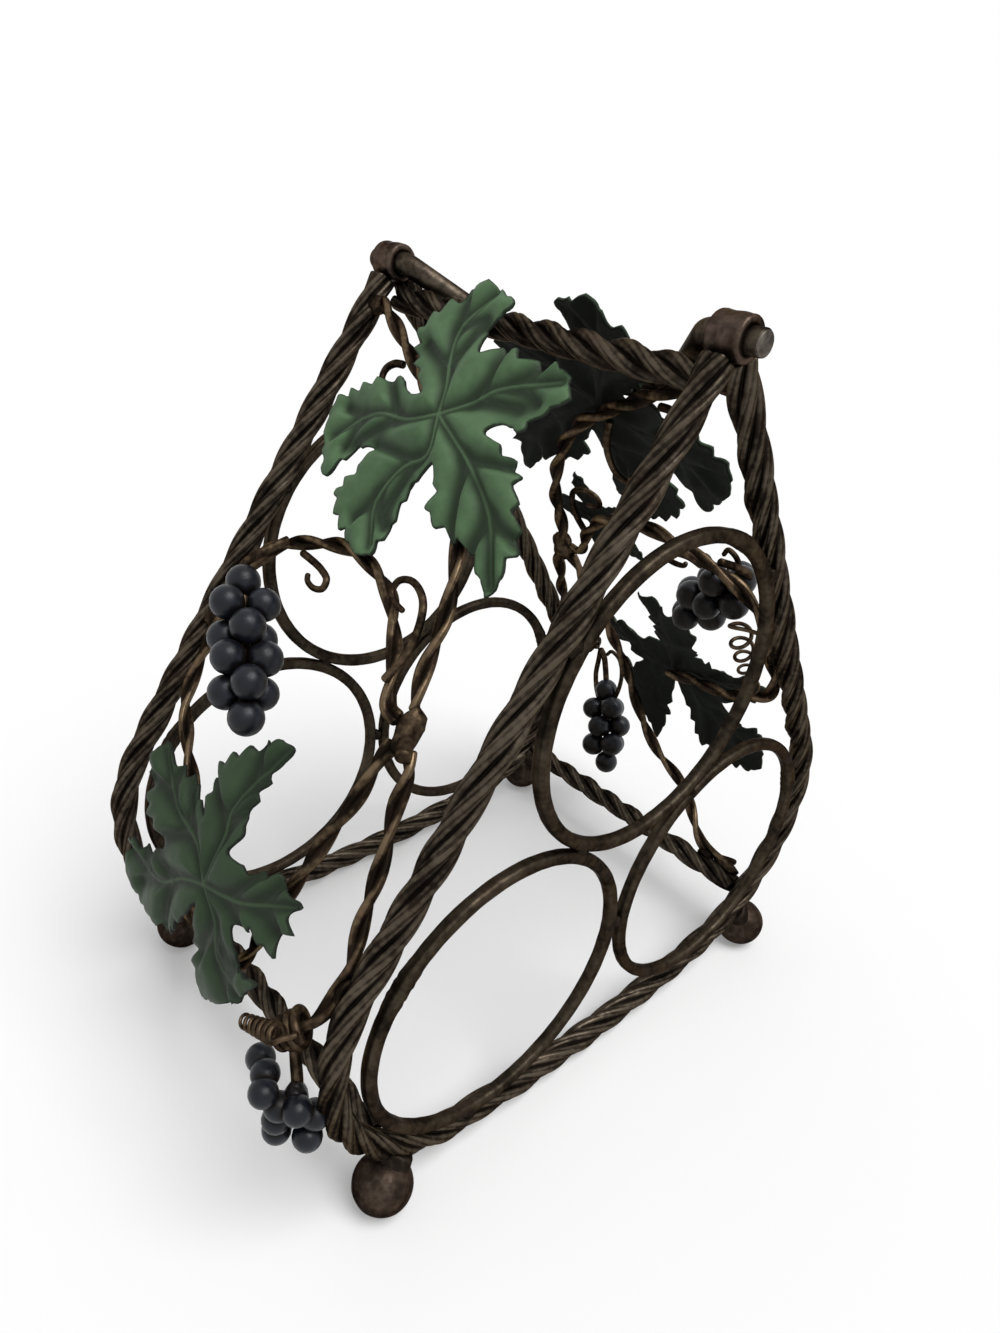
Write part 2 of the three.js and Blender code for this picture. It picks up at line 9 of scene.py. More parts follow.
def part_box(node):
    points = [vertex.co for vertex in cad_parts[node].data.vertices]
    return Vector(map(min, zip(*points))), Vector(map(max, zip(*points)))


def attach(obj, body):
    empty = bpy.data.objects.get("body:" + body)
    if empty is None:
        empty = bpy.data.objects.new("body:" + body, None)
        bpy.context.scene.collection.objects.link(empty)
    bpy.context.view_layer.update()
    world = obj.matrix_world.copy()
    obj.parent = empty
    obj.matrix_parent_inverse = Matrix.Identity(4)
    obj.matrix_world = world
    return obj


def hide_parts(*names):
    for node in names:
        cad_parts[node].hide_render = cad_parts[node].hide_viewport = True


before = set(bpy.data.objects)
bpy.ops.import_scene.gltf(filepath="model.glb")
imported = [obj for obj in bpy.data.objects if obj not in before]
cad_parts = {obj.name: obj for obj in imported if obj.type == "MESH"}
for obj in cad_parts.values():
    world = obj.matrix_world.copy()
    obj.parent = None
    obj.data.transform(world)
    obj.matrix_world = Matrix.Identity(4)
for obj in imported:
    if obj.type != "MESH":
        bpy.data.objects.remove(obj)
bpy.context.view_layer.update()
scene = bpy.context.scene

# End loops
# Each end of the rack is one long bar of four iron strands twisted together and bent into a soft triangle.
# Its two cut ends lean together at the top, and everything else is welded to it. Sizes are in millimetres.
loop_x = 70.6
loop_bar_radius = 4.6
loop_strand_radius = 2.1
loop_bar_pitch = 72
ring_radius = 51.6
ring_bar_radius = 2.5
ring_gap = 2.4
leg_lean = radians(33.8)
leg_clear = 6.5
corner_ease = 2.4
weld_nip = 0.25
base_sag = 4.6
base_height = 6.3
seat = 0.35
collar_radius = 6
collar_low, collar_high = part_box("right_collar")
rack_middle = np.array([0, (collar_low.y + collar_high.y) * 500, 0])
end_signs = {"right": 1, "left": -1}
full_turn = 2 * pi

# The rings set where the legs run, and the corners and the sagging base meet the legs smoothly
ring_reach = ring_radius + ring_bar_radius
lower_ring_y = ring_reach + ring_gap / 2
lower_ring_z = base_height + base_sag + leg_clear + ring_radius
upper_ring_z = lower_ring_z + sqrt((2 * ring_reach - weld_nip) ** 2 - lower_ring_y ** 2)
ring_x = loop_x + sqrt((loop_bar_radius + ring_bar_radius - weld_nip) ** 2 - leg_clear ** 2)
crossing_z = upper_ring_z + (ring_radius + leg_clear) / sin(leg_lean)
corner_radius = ring_radius + leg_clear + corner_ease
corner_z = base_height + base_sag + corner_radius
corner_y = (crossing_z - corner_z) * tan(leg_lean) - corner_radius / cos(leg_lean)
base_radius = (corner_y ** 2 + (corner_radius + base_sag) ** 2 - corner_radius ** 2) / (2 * base_sag)
base_z = base_height + base_radius
base_turn = atan2(corner_y, base_z - corner_z)
leg_end_y = loop_bar_radius * cos(leg_lean) + seat / 2
leg_end_z = crossing_z - leg_end_y / tan(leg_lean)
axis_z = leg_end_z + (collar_radius + seat - leg_end_y * sin(leg_lean)) / cos(leg_lean)


def arc(middle_y, middle_z, radius, start, end):
    arc_step = 0.5
    turn = np.linspace(start, end, int(abs(end - start) * radius / arc_step))
    return np.stack([middle_y + radius * np.cos(turn), middle_z + radius * np.sin(turn)], 1)


down = 1.5 * pi
outline = np.concatenate([
    [[-leg_end_y, leg_end_z]],
    arc(-corner_y, corner_z, corner_radius, pi - leg_lean, down - base_turn),
    arc(0, base_z, base_radius, down - base_turn, down + base_turn)[1:],
    arc(corner_y, corner_z, corner_radius, down + base_turn, full_turn + leg_lean)[1:],
    [[leg_end_y, leg_end_z]],
])


def length_of(arrows):
    return np.linalg.norm(arrows, axis=-1)


def unit(arrows):
    return arrows / length_of(arrows)[..., None]


# The distance run at each point of a line, the points at some distances along it, and where it heads there
def run_of(line):
    return np.concatenate([[0], np.cumsum(length_of(np.diff(line, axis=0)))])


def along(line, places):
    run = run_of(line)
    return np.stack([np.interp(places, run, axis) for axis in line.T], -1)


def heading(line, places, look):
    return unit(along(line, places + look) - along(line, places - look))


half_outline = run_of(outline)[-1] / 2


# From 0 at the start to 1 after a length
def ramp(value, start, length):
    return np.clip((value - start) / length, 0, 1)


# Four-cornered faces between rows of points that each go round once. The last row may close on the first.
def lattice(rows, sides, closed=False, turned=False):
    here = np.arange(rows * sides).reshape(rows, sides)
    beside = np.roll(here, -1, 1)
    faces = np.stack([here, beside, np.roll(beside, -1, 0), np.roll(here, -1, 0)], 2)
    faces = faces[:, :, [0, 3, 2, 1]] if turned else faces
    return (faces if closed else faces[:-1]).reshape(-1, 4).tolist()


# A rod is lofted along a line of points. Its section may turn as it goes, and its ends are eased over.
# With its points and faces comes how far each point lies from the line.
def rod(line, reach, pitch=inf, sides=32, step=1.0, ease=0.8):
    look = 0.3
    thinnest = 0.05
    length = run_of(line)[-1]
    lap = np.linspace(0, pi / 2, 6)
    start = ease * (1 - np.cos(lap))
    middle = np.linspace(ease, length - ease, max(3, int((length - 2 * ease) / step)))
    places = np.concatenate([start[:-1], middle, length - start[-2::-1]])
    eased = ease * (1 - np.sin(lap[:-1]))
    shrink = np.concatenate([eased, np.zeros(len(middle)), eased[::-1]])
    centre = along(line, places)
    tangent = heading(line, places, look)
    side = np.cross(tangent[0], [0.3, 0.5, 0.8])
    across = np.empty_like(tangent)
    for i, direction in enumerate(tangent):
        side = unit(side - direction * (side @ direction))
        across[i] = side
    up = np.cross(tangent, across)
    around = np.arange(sides) * full_turn / sides
    distance = np.maximum(reach(around, places[:, None]) - shrink[:, None], thinnest)
    angle = around + full_turn * places[:, None] / pitch
    spokes = np.cos(angle)[..., None] * across[:, None] + np.sin(angle)[..., None] * up[:, None]
    points = centre[:, None] + distance[..., None] * spokes
    first = list(range(sides - 1, -1, -1))
    last = list(range((len(places) - 1) * sides, len(places) * sides))
    return points.reshape(-1, 3), lattice(len(places), sides) + [first, last], distance


# The section of a twisted bar: round strands side by side, each drawn with ridges along it. Twisted by hand,
# the strands and ridges wander and the bar swells a little as it runs.
def strands(radius, strand_radius, count, ridges=3, ridge_depth=0.5):
    offset = radius - strand_radius

    def reach(around, run):
        place = (around * count / full_turn + 0.05 * np.sin(run / 17)) % 1
        turn = (place - 0.5) * full_turn / count
        bulge = np.maximum(strand_radius ** 2 - (offset * np.sin(turn)) ** 2, 0.01)
        strand = offset * np.cos(turn) + np.sqrt(bulge)
        ridge_place = (place * ridges + 0.12 * np.sin(run / 11 + np.floor(place * ridges) * 2)) % 1
        ridge = np.sqrt(1 - (1.9 * (ridge_place - 0.5)) ** 2)
        waver = 0.12 * np.sin(run / 9 + 3 * around) + 0.08 * np.sin(run / 5.3)
        return strand - ridge_depth * (1 - ridge) + waver
    return reach


def added(name, data):
    made = bpy.data.objects.new(name, data)
    scene.collection.objects.link(made)
    return made


# A shape is points in millimetres in the rack's own frame, and faces. It rides on the body it belongs to.
# Its marks are values for the material, one for each point or one for all.
def piece(name, shape, finish, stands_for=(), slot="wrought_iron", body="rack", **marks):
    points, faces = shape[:2]
    mesh = bpy.data.meshes.new(name)
    mesh.from_pydata(((points + rack_middle) / 1000).tolist(), [], faces)
    mesh.polygons.foreach_set("use_smooth", [len(face) < 5 for face in faces])
    for mark, amount in marks.items():
        layer = mesh.attributes.new(mark, "FLOAT", "POINT")
        layer.data.foreach_set("value", np.broadcast_to(amount, len(points)).astype(np.float32))
    mesh.materials.append(finish)
    made = added(name, mesh)
    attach(made, body)
    if stands_for:
        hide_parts(*stands_for)


def colour(hex_code):
    parts = [int(hex_code[k:k + 2], 16) / 255 for k in (1, 3, 5)]
    return tuple(c / 12.92 if c <= 0.04045 else ((c + 0.055) / 1.055) ** 2.4 for c in parts) + (1,)


def fill(made, inputs):
    for name, value in inputs.items():
        if isinstance(value, bpy.types.NodeSocket):
            made.id_data.links.new(value, made.inputs[name])
        else:
            made.inputs[name].default_value = value


def node(tree, kind, inputs, out=0, **settings):
    made = tree.nodes.new("ShaderNode" + kind)
    for name, value in settings.items():
        setattr(made, name, value)
    fill(made, inputs)
    return made.outputs[out]


# A finish starts from the marks on its mesh and from noises, each with its size in millimetres and its detail
def new_finish(name, marks=(), noises=()):
    finish = bpy.data.materials.new(name)
    finish.use_nodes = True
    add = partial(node, finish.node_tree)
    place = add("TexCoord", {}, "Object")
    found = [add("Attribute", {}, "Fac", attribute_name=mark) for mark in marks]
    for size, detail in noises:
        found.append(add("TexNoise", {"Vector": place, "Scale": 1000 / size, "Detail": detail}))
    return finish, finish.node_tree.nodes["Principled BSDF"], add, place, *found


# A value times another, with a third added
def scaled(add, value, factor, plus=0.0):
    return add("Math", {0: value, 1: factor, 2: plus}, operation="MULTIPLY_ADD")


# Tints laid over a colour one after the other, each by its share
def tinted(add, first, layers):
    body = colour(first)
    for share, tint in layers:
        body = add("Mix", {0: share, 6: body, 7: colour(tint)}, 2, data_type="RGBA")
    return body


# Wrought iron, blackened and waxed, with bronze paste rubbed over the ridges by hand.
# It gives the eye a brown-black satin metal, mottled, with warm worn crests and dark grooves.
def rubbed_iron(name, black, brown, bronze, bronze_share, rust_share):
    finish, shader, add, _, crest, blotch, fleck, grain, rusty = new_finish(
        name, ["crest"], [(11, 3), (2.2, 5), (0.7, 3), (14, 6)])
    ground = add("MapRange", {0: blotch, 1: 0.35, 2: 0.68})
    patchy = scaled(add, blotch, 1.5, scaled(add, fleck, 1.5, -1.1))
    worn = add("Math", {0: crest, 1: patchy}, operation="ADD")
    worn = add("MapRange", {0: worn, 1: 0.65, 2: 1.75}, interpolation_type="SMOOTHSTEP")
    paste = scaled(add, worn, bronze_share)
    rusty = add("MapRange", {0: rusty, 1: 0.52, 2: 0.75, 4: rust_share})
    body = tinted(add, black, ((ground, brown), (paste, bronze), (rusty, "#38261a")))
    metal = add("MapRange", {0: rusty, 3: 0.95, 4: 0.4})
    dull = add("MapRange", {0: worn, 3: 0.4, 4: 0.24})
    dull = scaled(add, fleck, 0.2, dull)
    tooth = scaled(add, fleck, 0.8, grain)
    bump = add("Bump", {"Height": tooth, "Strength": 0.3, "Distance": 0.0002})
    fill(shader, {"Base Color": body, "Metallic": metal, "Roughness": dull, "Normal": bump,
                  "Specular Tint": colour("#a59f99")})
    return finish


dark_iron = rubbed_iron("wrought_iron_blackened_and_rubbed", "#1d1814", "#2b2520", "#5f564a", 0.75, 0.3)


# How far each point of a bar stands out, as a rubbing hand meets it: the strands, and the ridges on them
def crest_of(bar, radius):
    distance = bar[2]
    nearby = np.mean([np.roll(distance, k, axis=1) for k in range(-4, 5)], axis=0)
    ridge = ramp(distance - nearby, -0.15, 0.3)
    return (ramp(distance, radius / 2, radius / 2) * (0.35 + 0.75 * ridge)).ravel()


for end, sign in end_signs.items():
    loop_line = np.column_stack([np.full(len(outline), sign * loop_x), outline])
    section = strands(loop_bar_radius + 0.2, loop_strand_radius, 4, ridge_depth=0.6)
    bar = rod(loop_line, section, loop_bar_pitch, sides=108, step=1.2)
    piece(end + "_end_loop_bar", bar, dark_iron, [end + "_end_loop"], crest=crest_of(bar, loop_bar_radius))

# Bottle rings
# Three hoops of round bar at each end hold the bottles. Each is hammered round a former, so the bar is a
# little flattened, and its ends meet in a lap that is welded and left lumpy.
ring_places = {"upper": (0, upper_ring_z), "front": (-lower_ring_y, lower_ring_z),
               "back": (lower_ring_y, lower_ring_z)}
lap_turns = {"upper": 1.1, "front": 2.5, "back": 0.4}
lap_length = 7

# The same iron on smooth bar: an even brown-black with a waxy gleam, and little bronze
smooth_iron = rubbed_iron("wrought_iron_smooth_bar_waxed", "#1f1a15", "#2d2720", "#574e41", 0.55, 0.3)


def hoop(x, y, z, lap_turn):
    rows, sides = 240, 24
    turn = np.arange(rows)[:, None] * full_turn / rows
    around = np.arange(sides) * full_turn / sides
    from_lap = np.abs((turn - lap_turn + pi) % full_turn - pi) * ring_radius
    lump = np.exp(-(from_lap / lap_length) ** 4) * (0.35 + 0.2 * np.sin(turn * 90) * np.sin(around))
    beaten = 0.06 * np.sin(turn * 23 + 2 * np.sin(turn * 5)) * np.cos(2 * around + 3 * np.sin(turn * 7))
    flat = -0.12 * np.cos(4 * around)
    bar = ring_bar_radius - 0.1 + lump + beaten + flat
    far = ring_radius + bar * np.cos(around)
    points = np.stack([x + bar * np.sin(around), y + far * np.cos(turn), z + far * np.sin(turn)], 2)
    faces = lattice(rows, sides, closed=True, turned=True)
    return points.reshape(-1, 3), faces, (0.75 + beaten + 0.2 * lump).ravel()


for (end, sign), (name, place) in product(end_signs.items(), ring_places.items()):
    ring = hoop(sign * ring_x, *place, lap_turns[name])
    piece(f"{end}_{name}_ring_hoop", ring, smooth_iron, [f"{end}_{name}_ring"], crest=ring[2])

# Weld beads
# Where a ring touches a loop or another ring the iron is run together in a small lumpy bead.
# The beads are blackened with the rest, so they read as swellings in the bar.
loop_bead = (2.9, 3.6, 3.6)
loop_bead_out = 1.4
ring_bead = (2.3, 2.6, 2.6)
bead_reach = leg_clear + 1.5
bead_share = 0.55


def globe(lat, sides):
    lat = lat[:, None]
    lon = np.arange(sides) * full_turn / sides
    ball = [np.sin(lat) * np.cos(lon), np.sin(lat) * np.sin(lon), np.cos(lat) + 0 * lon]
    return np.stack(ball, 2).reshape(-1, 3)


# A small round ball, from pole to pole
ball_rows, ball_sides = 11, 20
ball_shell = globe(np.linspace(0, pi, ball_rows + 2)[1:-1], ball_sides)
ball = np.concatenate([[[0, 0, 1]], ball_shell, [[0, 0, -1]]])
last_row = 1 + (ball_rows - 1) * ball_sides
pairs = [(j, (j + 1) % ball_sides) for j in range(ball_sides)]
ball_faces = [[0, 1 + a, 1 + b] for a, b in pairs]
ball_faces += (np.array(lattice(ball_rows, ball_sides, turned=True)) + 1).tolist()
ball_faces += [[len(ball) - 1, last_row + b, last_row + a] for a, b in pairs]


def bead(middle, size, seed):
    lumps = [1 + 0.22 * noise.noise(Vector(p) * 1.7 + Vector((seed, 0, 0))) for p in ball]
    return middle + ball * np.array(lumps)[:, None] * size, ball_faces


def joined(parts):
    points, faces, offset = [], [], 0
    for some_points, some_faces, *_ in parts:
        points.append(some_points)
        faces += [[corner + offset for corner in face] for face in some_faces]
        offset += len(some_points)
    return np.concatenate(points), faces


loop_spots = along(outline, np.linspace(0, 2 * half_outline, 1500))
for end, sign in end_signs.items():
    beads = []
    for k, place in enumerate(ring_places.values()):
        toward = np.array(place) - loop_spots
        gap = length_of(toward) - ring_radius
        for i in range(1, len(loop_spots) - 1):
            if gap[i] <= gap[i - 1] and gap[i] < gap[i + 1] and gap[i] < bead_reach:
                middle = loop_spots[i] + unit(toward[i]) * bead_share * gap[i]
                beads.append(bead([sign * (loop_x + loop_bead_out), *middle], loop_bead, 7 * k + i))
    for (y0, z0), (y1, z1) in combinations(ring_places.values(), 2):
        beads.append(bead([sign * ring_x, (y0 + y1) / 2, (z0 + z1) / 2], ring_bead, y0 + 3 * z1))
    piece(end + "_weld_beads", joined(beads), dark_iron, crest=0.4)

# Collars
# A short smooth iron sleeve with rounded rims is welded into the fork at the top of each loop.
# It is the bearing of the handle, whose pins turn in its bore with a little play.
collar_length = 10.6
collar_swell = 0.12
rim = 1.0
pin_radius = 3.6
pin_clear = 0.35
bore = pin_radius + pin_clear
half_collar = collar_length / 2
barrel_half = half_collar - 1.6
collar_sides = 48

# Iron handled bare of wax: the eye gets a redder brown, rubbed smooth
collar_iron = rubbed_iron("wrought_iron_collar_worn_red_brown", "#211a17", "#342924", "#6a5c52", 0.65, 0.4)

rim_lap = np.linspace(0, pi / 2, 6)
rim_inset = rim * (1 - np.sin(rim_lap))
rim_radius = collar_radius - rim * (1 - np.cos(rim_lap))
barrel = np.linspace(-barrel_half, barrel_half, 7)
collar_along = np.concatenate([[-half_collar], rim_inset[::-1] - half_collar, barrel,
                               half_collar - rim_inset, [half_collar]])
collar_out = np.concatenate([[bore], rim_radius[::-1], collar_radius + collar_swell * np.sin(barrel),
                             rim_radius, [bore]])
around = np.arange(collar_sides) * full_turn / collar_sides
sleeve = np.stack([np.outer(collar_along, np.ones(collar_sides)), np.outer(collar_out, np.cos(around)),
                   np.outer(collar_out, np.sin(around))], 2).reshape(-1, 3)
sleeve_faces = lattice(len(collar_out), collar_sides, closed=True)
for end, sign in end_signs.items():
    piece(end + "_collar_sleeve", (sleeve + [sign * loop_x, 0, axis_z], sleeve_faces), collar_iron,
          [end + "_collar"], crest=0.85)

# Feet
# Four forged iron balls carry the rack, each filed to a small flat under it. A thick neck of weld joins
# the ball to the lower corner of its loop.
foot_radius = 10.2
foot_flat = 3
foot_out = 2
foot_dent = 0.13
neck_radius = 4.9
neck_flare = 3.3
neck_sink = 1.2
foot_z = sqrt(foot_radius ** 2 - foot_flat ** 2)
foot_reach = corner_radius + sqrt((loop_bar_radius - weld_nip + foot_radius) ** 2 - foot_out ** 2)
foot_y = corner_y + sqrt(foot_reach ** 2 - (corner_z - foot_z) ** 2)

# Iron left as the hammer left it: a mottled red-brown ball with a soft gleam
ball_iron = rubbed_iron("wrought_iron_ball_forged_red_brown", "#221b17", "#302721", "#5c5046", 0.65, 0.35)


def ball_foot(middle, seed):
    rows, sides = 35, 56
    flat_turn = asin(foot_flat / foot_radius)
    shell = globe(np.linspace(pi - flat_turn, 0, rows + 1)[:-1], sides)
    dent = np.array([foot_dent * noise.noise(Vector(p) * 2.2 + Vector((seed, 1, 2))) for p in shell])
    dent = dent * ramp(shell[:, 2], -0.95, 0.15)
    points = np.concatenate([shell * (foot_radius + dent)[:, None], [[0, 0, foot_radius]]])
    last = (rows - 1) * sides
    top = [[last + j, last + (j + 1) % sides, len(points) - 1] for j in range(sides)]
    return points + middle, [list(range(sides - 1, -1, -1))] + lattice(rows, sides) + top


def neck(length):
    def reach(around, run):
        share = run / length
        return neck_radius + neck_flare * share ** 2 + 0.25 * np.sin(3 * around + 4 * share)
    return reach


for (end, sx), (panel, sy) in product(end_signs.items(), (("front", -1), ("back", 1))):
    middle = np.array([sx * (loop_x + foot_out), sy * foot_y, foot_z])
    foot = ball_foot(middle, 3 * sx + sy)
    piece(f"{end}_{panel}_foot_ball", foot, ball_iron, [f"{end}_{panel}_foot"], crest=0.55)
    corner = np.array([sx * loop_x, sy * corner_y, corner_z])
    touch = corner + unit(middle - corner) * (corner_radius + neck_sink)
    neck_line = np.linspace(touch, middle + (touch - middle) * 0.2, 30)
    weld = rod(neck_line, neck(run_of(neck_line)[-1]), sides=36, step=0.5, ease=1.5)
    piece(f"{end}_{panel}_foot_neck", weld, dark_iron, crest=0.35)

# Rails
# Three straight bars of three twisted strands join the two ends, one along each lower corner and one under
# the handle's collars. Their ends are welded to the loops.
rail_radius = 4.7
rail_strand_radius = 2.35
rail_pitch = 45
base_rail_turn = radians(47)
rail_half = loop_x - loop_bar_radius - seat
base_rail_y = corner_y + corner_radius * cos(base_rail_turn)
base_rail_z = corner_z - corner_radius * sin(base_rail_turn)
top_rail_z = axis_z - collar_radius - seat - rail_radius
for name, y, z, half in (("front_base_rail", -base_rail_y, base_rail_z, rail_half),
                         ("back_base_rail", base_rail_y, base_rail_z, rail_half),
                         ("top_rail", 0, top_rail_z, rail_half + 2 * seat)):
    rail_line = np.linspace([-half, y, z], [half, y, z], 200)
    section = strands(rail_radius + 0.1, rail_strand_radius, 3, ridges=4, ridge_depth=0.55)
    bar = rod(rail_line, section, rail_pitch, sides=108, step=0.8)
    piece(name + "_bar", bar, dark_iron, [name], crest=crest_of(bar, rail_radius))

# Handle
# One bent bar: plain pins that turn in the collars, tight bends, sloping arms, and a grip twisted from three
# strands. It hangs folded on the back and swings up and over.
handle_drop = 43
handle_bend = 5
handle_slope = radians(51)
handle_end = 4
handle_rest = radians(53)
grip_radius = 4.5
grip_strand_radius = 2.3
grip_half = 46
grip_blend = 7
grip_pitch = 40
bend_x = loop_x - half_collar - seat
arm_x = bend_x - handle_bend * sin(handle_slope)
arm_drop = handle_bend * (1 - cos(handle_slope))
arch_radius = (arm_drop + arm_x * tan(handle_slope) - handle_drop) / (1 / cos(handle_slope) - 1)
end_x = loop_x + half_collar + handle_end
bow = np.concatenate([
    [[-end_x, 0]],
    arc(-bend_x, -handle_bend, handle_bend, pi / 2, pi / 2 - handle_slope),
    arc(0, arch_radius - handle_drop, arch_radius, down - handle_slope, down + handle_slope),
    arc(bend_x, -handle_bend, handle_bend, pi / 2 + handle_slope, pi / 2),
    [[end_x, 0]],
])
bow_line = np.column_stack([bow[:, 0], -bow[:, 1] * sin(handle_rest),
                            axis_z + bow[:, 1] * cos(handle_rest)])
bow_run = run_of(bow_line)
twisted = strands(grip_radius, grip_strand_radius, 3)


def grip(around, run):
    from_middle = np.abs(np.interp(run, bow_run, bow_line[:, 0]))
    plain = ramp(from_middle, grip_half - grip_blend, grip_blend)
    plain = plain * plain * (3 - 2 * plain)
    return twisted(around, run) * (1 - plain) + pin_radius * plain


bail = rod(bow_line, grip, grip_pitch, sides=84, step=0.8)
piece("handle_bail", bail, dark_iron, ["handle"], body="handle",
      crest=np.where(np.abs(bail[0][:, 0]) > grip_half, 0.8, crest_of(bail, grip_radius)))

# The pins' ends are filed flat and left as bare steel, which shows as a scratched grey disc
filed_steel = rubbed_iron("steel_filed_bare", "#33302d", "#4a443f", "#8d877e", 0.6, 0.6)


def plain_wire(radius):
    return lambda around, run: radius + 0.05 * radius * np.sin(run / 6 + around)


pin_cap = (0.985, 1.003)
for end, sign in end_signs.items():
    pin_line = np.linspace(*([sign * end_x * share, 0, axis_z] for share in pin_cap), 8)
    pin = rod(pin_line, plain_wire(pin_radius - 0.25), sides=32, step=0.3, ease=0.3)
    piece(end + "_pin_end", pin, filed_steel, body="handle", crest=0.9)

# Vines
# On each sloping side two-strand twisted vines run from the loops to a knot and on to the lower corners.
# They are thinner than the frame's bars and rubbed warmer. The back side is the front one turned half round.
panels = ("front", "back")
vine_radius = 2.7
vine_strand_radius = 1.45
vine_pitch = 38
trunk_lift = 2
arch_lift = 4.5
knot_radius = 2 * vine_radius
knot_place = (0.57, 0.327)
leg_face = (loop_x - loop_bar_radius) / loop_x
leg_side = leg_face - vine_radius / loop_x
leg_way = outline[1] - outline[0]
leg_length = hypot(*leg_way)
rail_reach = leg_length + corner_radius * (leg_lean + base_rail_turn)
beside_rail = (rail_reach - rail_radius - vine_radius - seat) / half_outline
rail_side = (rail_reach - rail_radius - seat / 2) / half_outline

# The same iron on thin twisted stems, with more bronze and some rust: a warmer, streaky brown
vine_iron = rubbed_iron("wrought_iron_vine_rubbed", "#1a1510", "#2a211a", "#786650", 0.75, 0.5)


# A place on the skin that the two loops span: u from -1 at the left loop to 1 at the right one, f from 0 at
# the top to 1 at the middle of the base, and a height above the skin
def skin(places):
    look = 0.2
    u, f, lift = np.asarray(places, float).reshape(-1, 3).T
    run = f * half_outline
    at = along(outline, run) + np.minimum(run, 0)[:, None] * leg_way / leg_length
    ahead = heading(outline, np.maximum(run, look), look)
    return np.stack([u * loop_x, at[:, 0] + ahead[:, 1] * lift, at[:, 1] - ahead[:, 0] * lift], 1)


# A smooth line through points, as a bent wire takes it
def bent(points):
    points = np.asarray(points, float)
    p = np.concatenate([[2 * points[0] - points[1]], points, [2 * points[-1] - points[-2]]])
    gaps = np.maximum(length_of(np.diff(p, axis=0)) ** 0.5, 1e-4)[:, None]
    steps = np.diff(p, axis=0) / gaps
    slopes = steps[:-1] - (p[2:] - p[:-2]) / (gaps[:-1] + gaps[1:]) + steps[1:]
    a, b = p[1:-2, None], p[2:-1, None]
    before, after = (slopes[:-1] * gaps[1:-1])[:, None], (slopes[1:] * gaps[1:-1])[:, None]
    t = np.linspace(0, 1, 24, endpoint=False)[:, None]
    line = (a + before * t + (-3 * a + 3 * b - 2 * before - after) * t ** 2
            + (2 * a - 2 * b + before + after) * t ** 3)
    return np.concatenate([*line, points[-1:]])


def at_knot(degrees, extra=0):
    reach = knot_radius + seat + extra
    turn = radians(degrees)
    across, along_leg = reach * cos(turn) / loop_x, reach * sin(turn) / half_outline
    return knot_place[0] + across, knot_place[1] - along_leg, 0


def on_panel(panel, points, faces, *_):
    return points * ([1, 1, 1] if panel == "front" else [-1, -1, 1]), faces


# A piece of vine iron on one panel. The node that it stands for is named without the panel.
def vine_piece(panel, name, shape, crest, stands_for=None):
    nodes = [f"{panel}_{stands_for}"] if stands_for else []
    piece(f"{panel}_{name}", on_panel(panel, *shape), vine_iron, nodes, "vine_iron", crest=crest)


vine_routes = {
    "trunk_vine": [(0.003 - leg_face, 0.024, 0), (-0.88, 0.025, 0), (-0.69, 0.043, 0.5), (-0.54, 0.057, 1),
                   (-0.2, 0.093, trunk_lift), (0.1, 0.131, 1), (0.31, 0.187, -0.5), (0.43, 0.24, -1),
                   at_knot(110, 10), at_knot(110)],
    "arch_vine": [at_knot(172), at_knot(170, 6), (0.347, 0.303, 0), (0.268, 0.279, 0), (0.146, 0.254, 0),
                  (0.05, 0.242, 0), (-0.08, 0.234, 0), (-0.234, 0.23, 0), (-0.39, 0.234, 0),
                  (-0.57, 0.245, 0), (-0.75, 0.261, 0), (-0.84, 0.282, 0), (-leg_side, 0.315, 0),
                  (-leg_side, 0.35, 0), (-leg_side, 0.388, 0), (-0.84, 0.432, 0), (-0.69, 0.458, 0),
                  (-0.45, 0.486, 1), (-0.2, 0.506, arch_lift - 1), (0.05, 0.522, arch_lift)],
    "corner_vine": [at_knot(-115), at_knot(-112, 6), (0.5, 0.39, 0), (0.46, 0.43, 0), (0.42, 0.475, -0.5),
                    (0.36, 0.53, -1.5), (0.22, 0.588, -2), (0, 0.628, -2), (-0.3, 0.655, -1),
                    (-0.62, beside_rail, 0), (-0.86, beside_rail, 0)],
    "leg_vine": [at_knot(-50), at_knot(-52, 6), (0.7, 0.377, 0), (0.775, 0.416, 0), (0.83, 0.458, 0),
                 (leg_side, 0.497, 0), (leg_side, 0.523, 0.5), (leg_side - 0.01, 0.54, 4), (0.84, 0.552, 9),
                 (0.78, 0.56, 11)],
}
for panel, (name, route) in product(panels, vine_routes.items()):
    section = strands(vine_radius, vine_strand_radius, 2, ridges=2, ridge_depth=0.12)
    stem = rod(bent(skin(route)), section, vine_pitch, sides=48, step=0.7, ease=1.2)
    vine_piece(panel, name + "_stem", stem, crest_of(stem, vine_radius), name)

# Beads of weld hold the vines to the loops they lean on, and the corner vine to the rail it runs beside
vine_welds = {(-leg_face, 0.026): (3, 3.2, 3.2), (-leg_face, 0.35): (2.4, 4.2, 4.2),
              (leg_face, 0.51): (2.4, 4.2, 4.2), (-0.82, rail_side): (6, 2.8, 2.8),
              (-0.66, rail_side): (4, 2.2, 2.2)}
welds = joined([bead(skin([(*spot, 0)])[0], size, 11 * k)
                for k, (spot, size) in enumerate(vine_welds.items())])
for panel in panels:
    vine_piece(panel, "vine_welds", welds, 0.45)

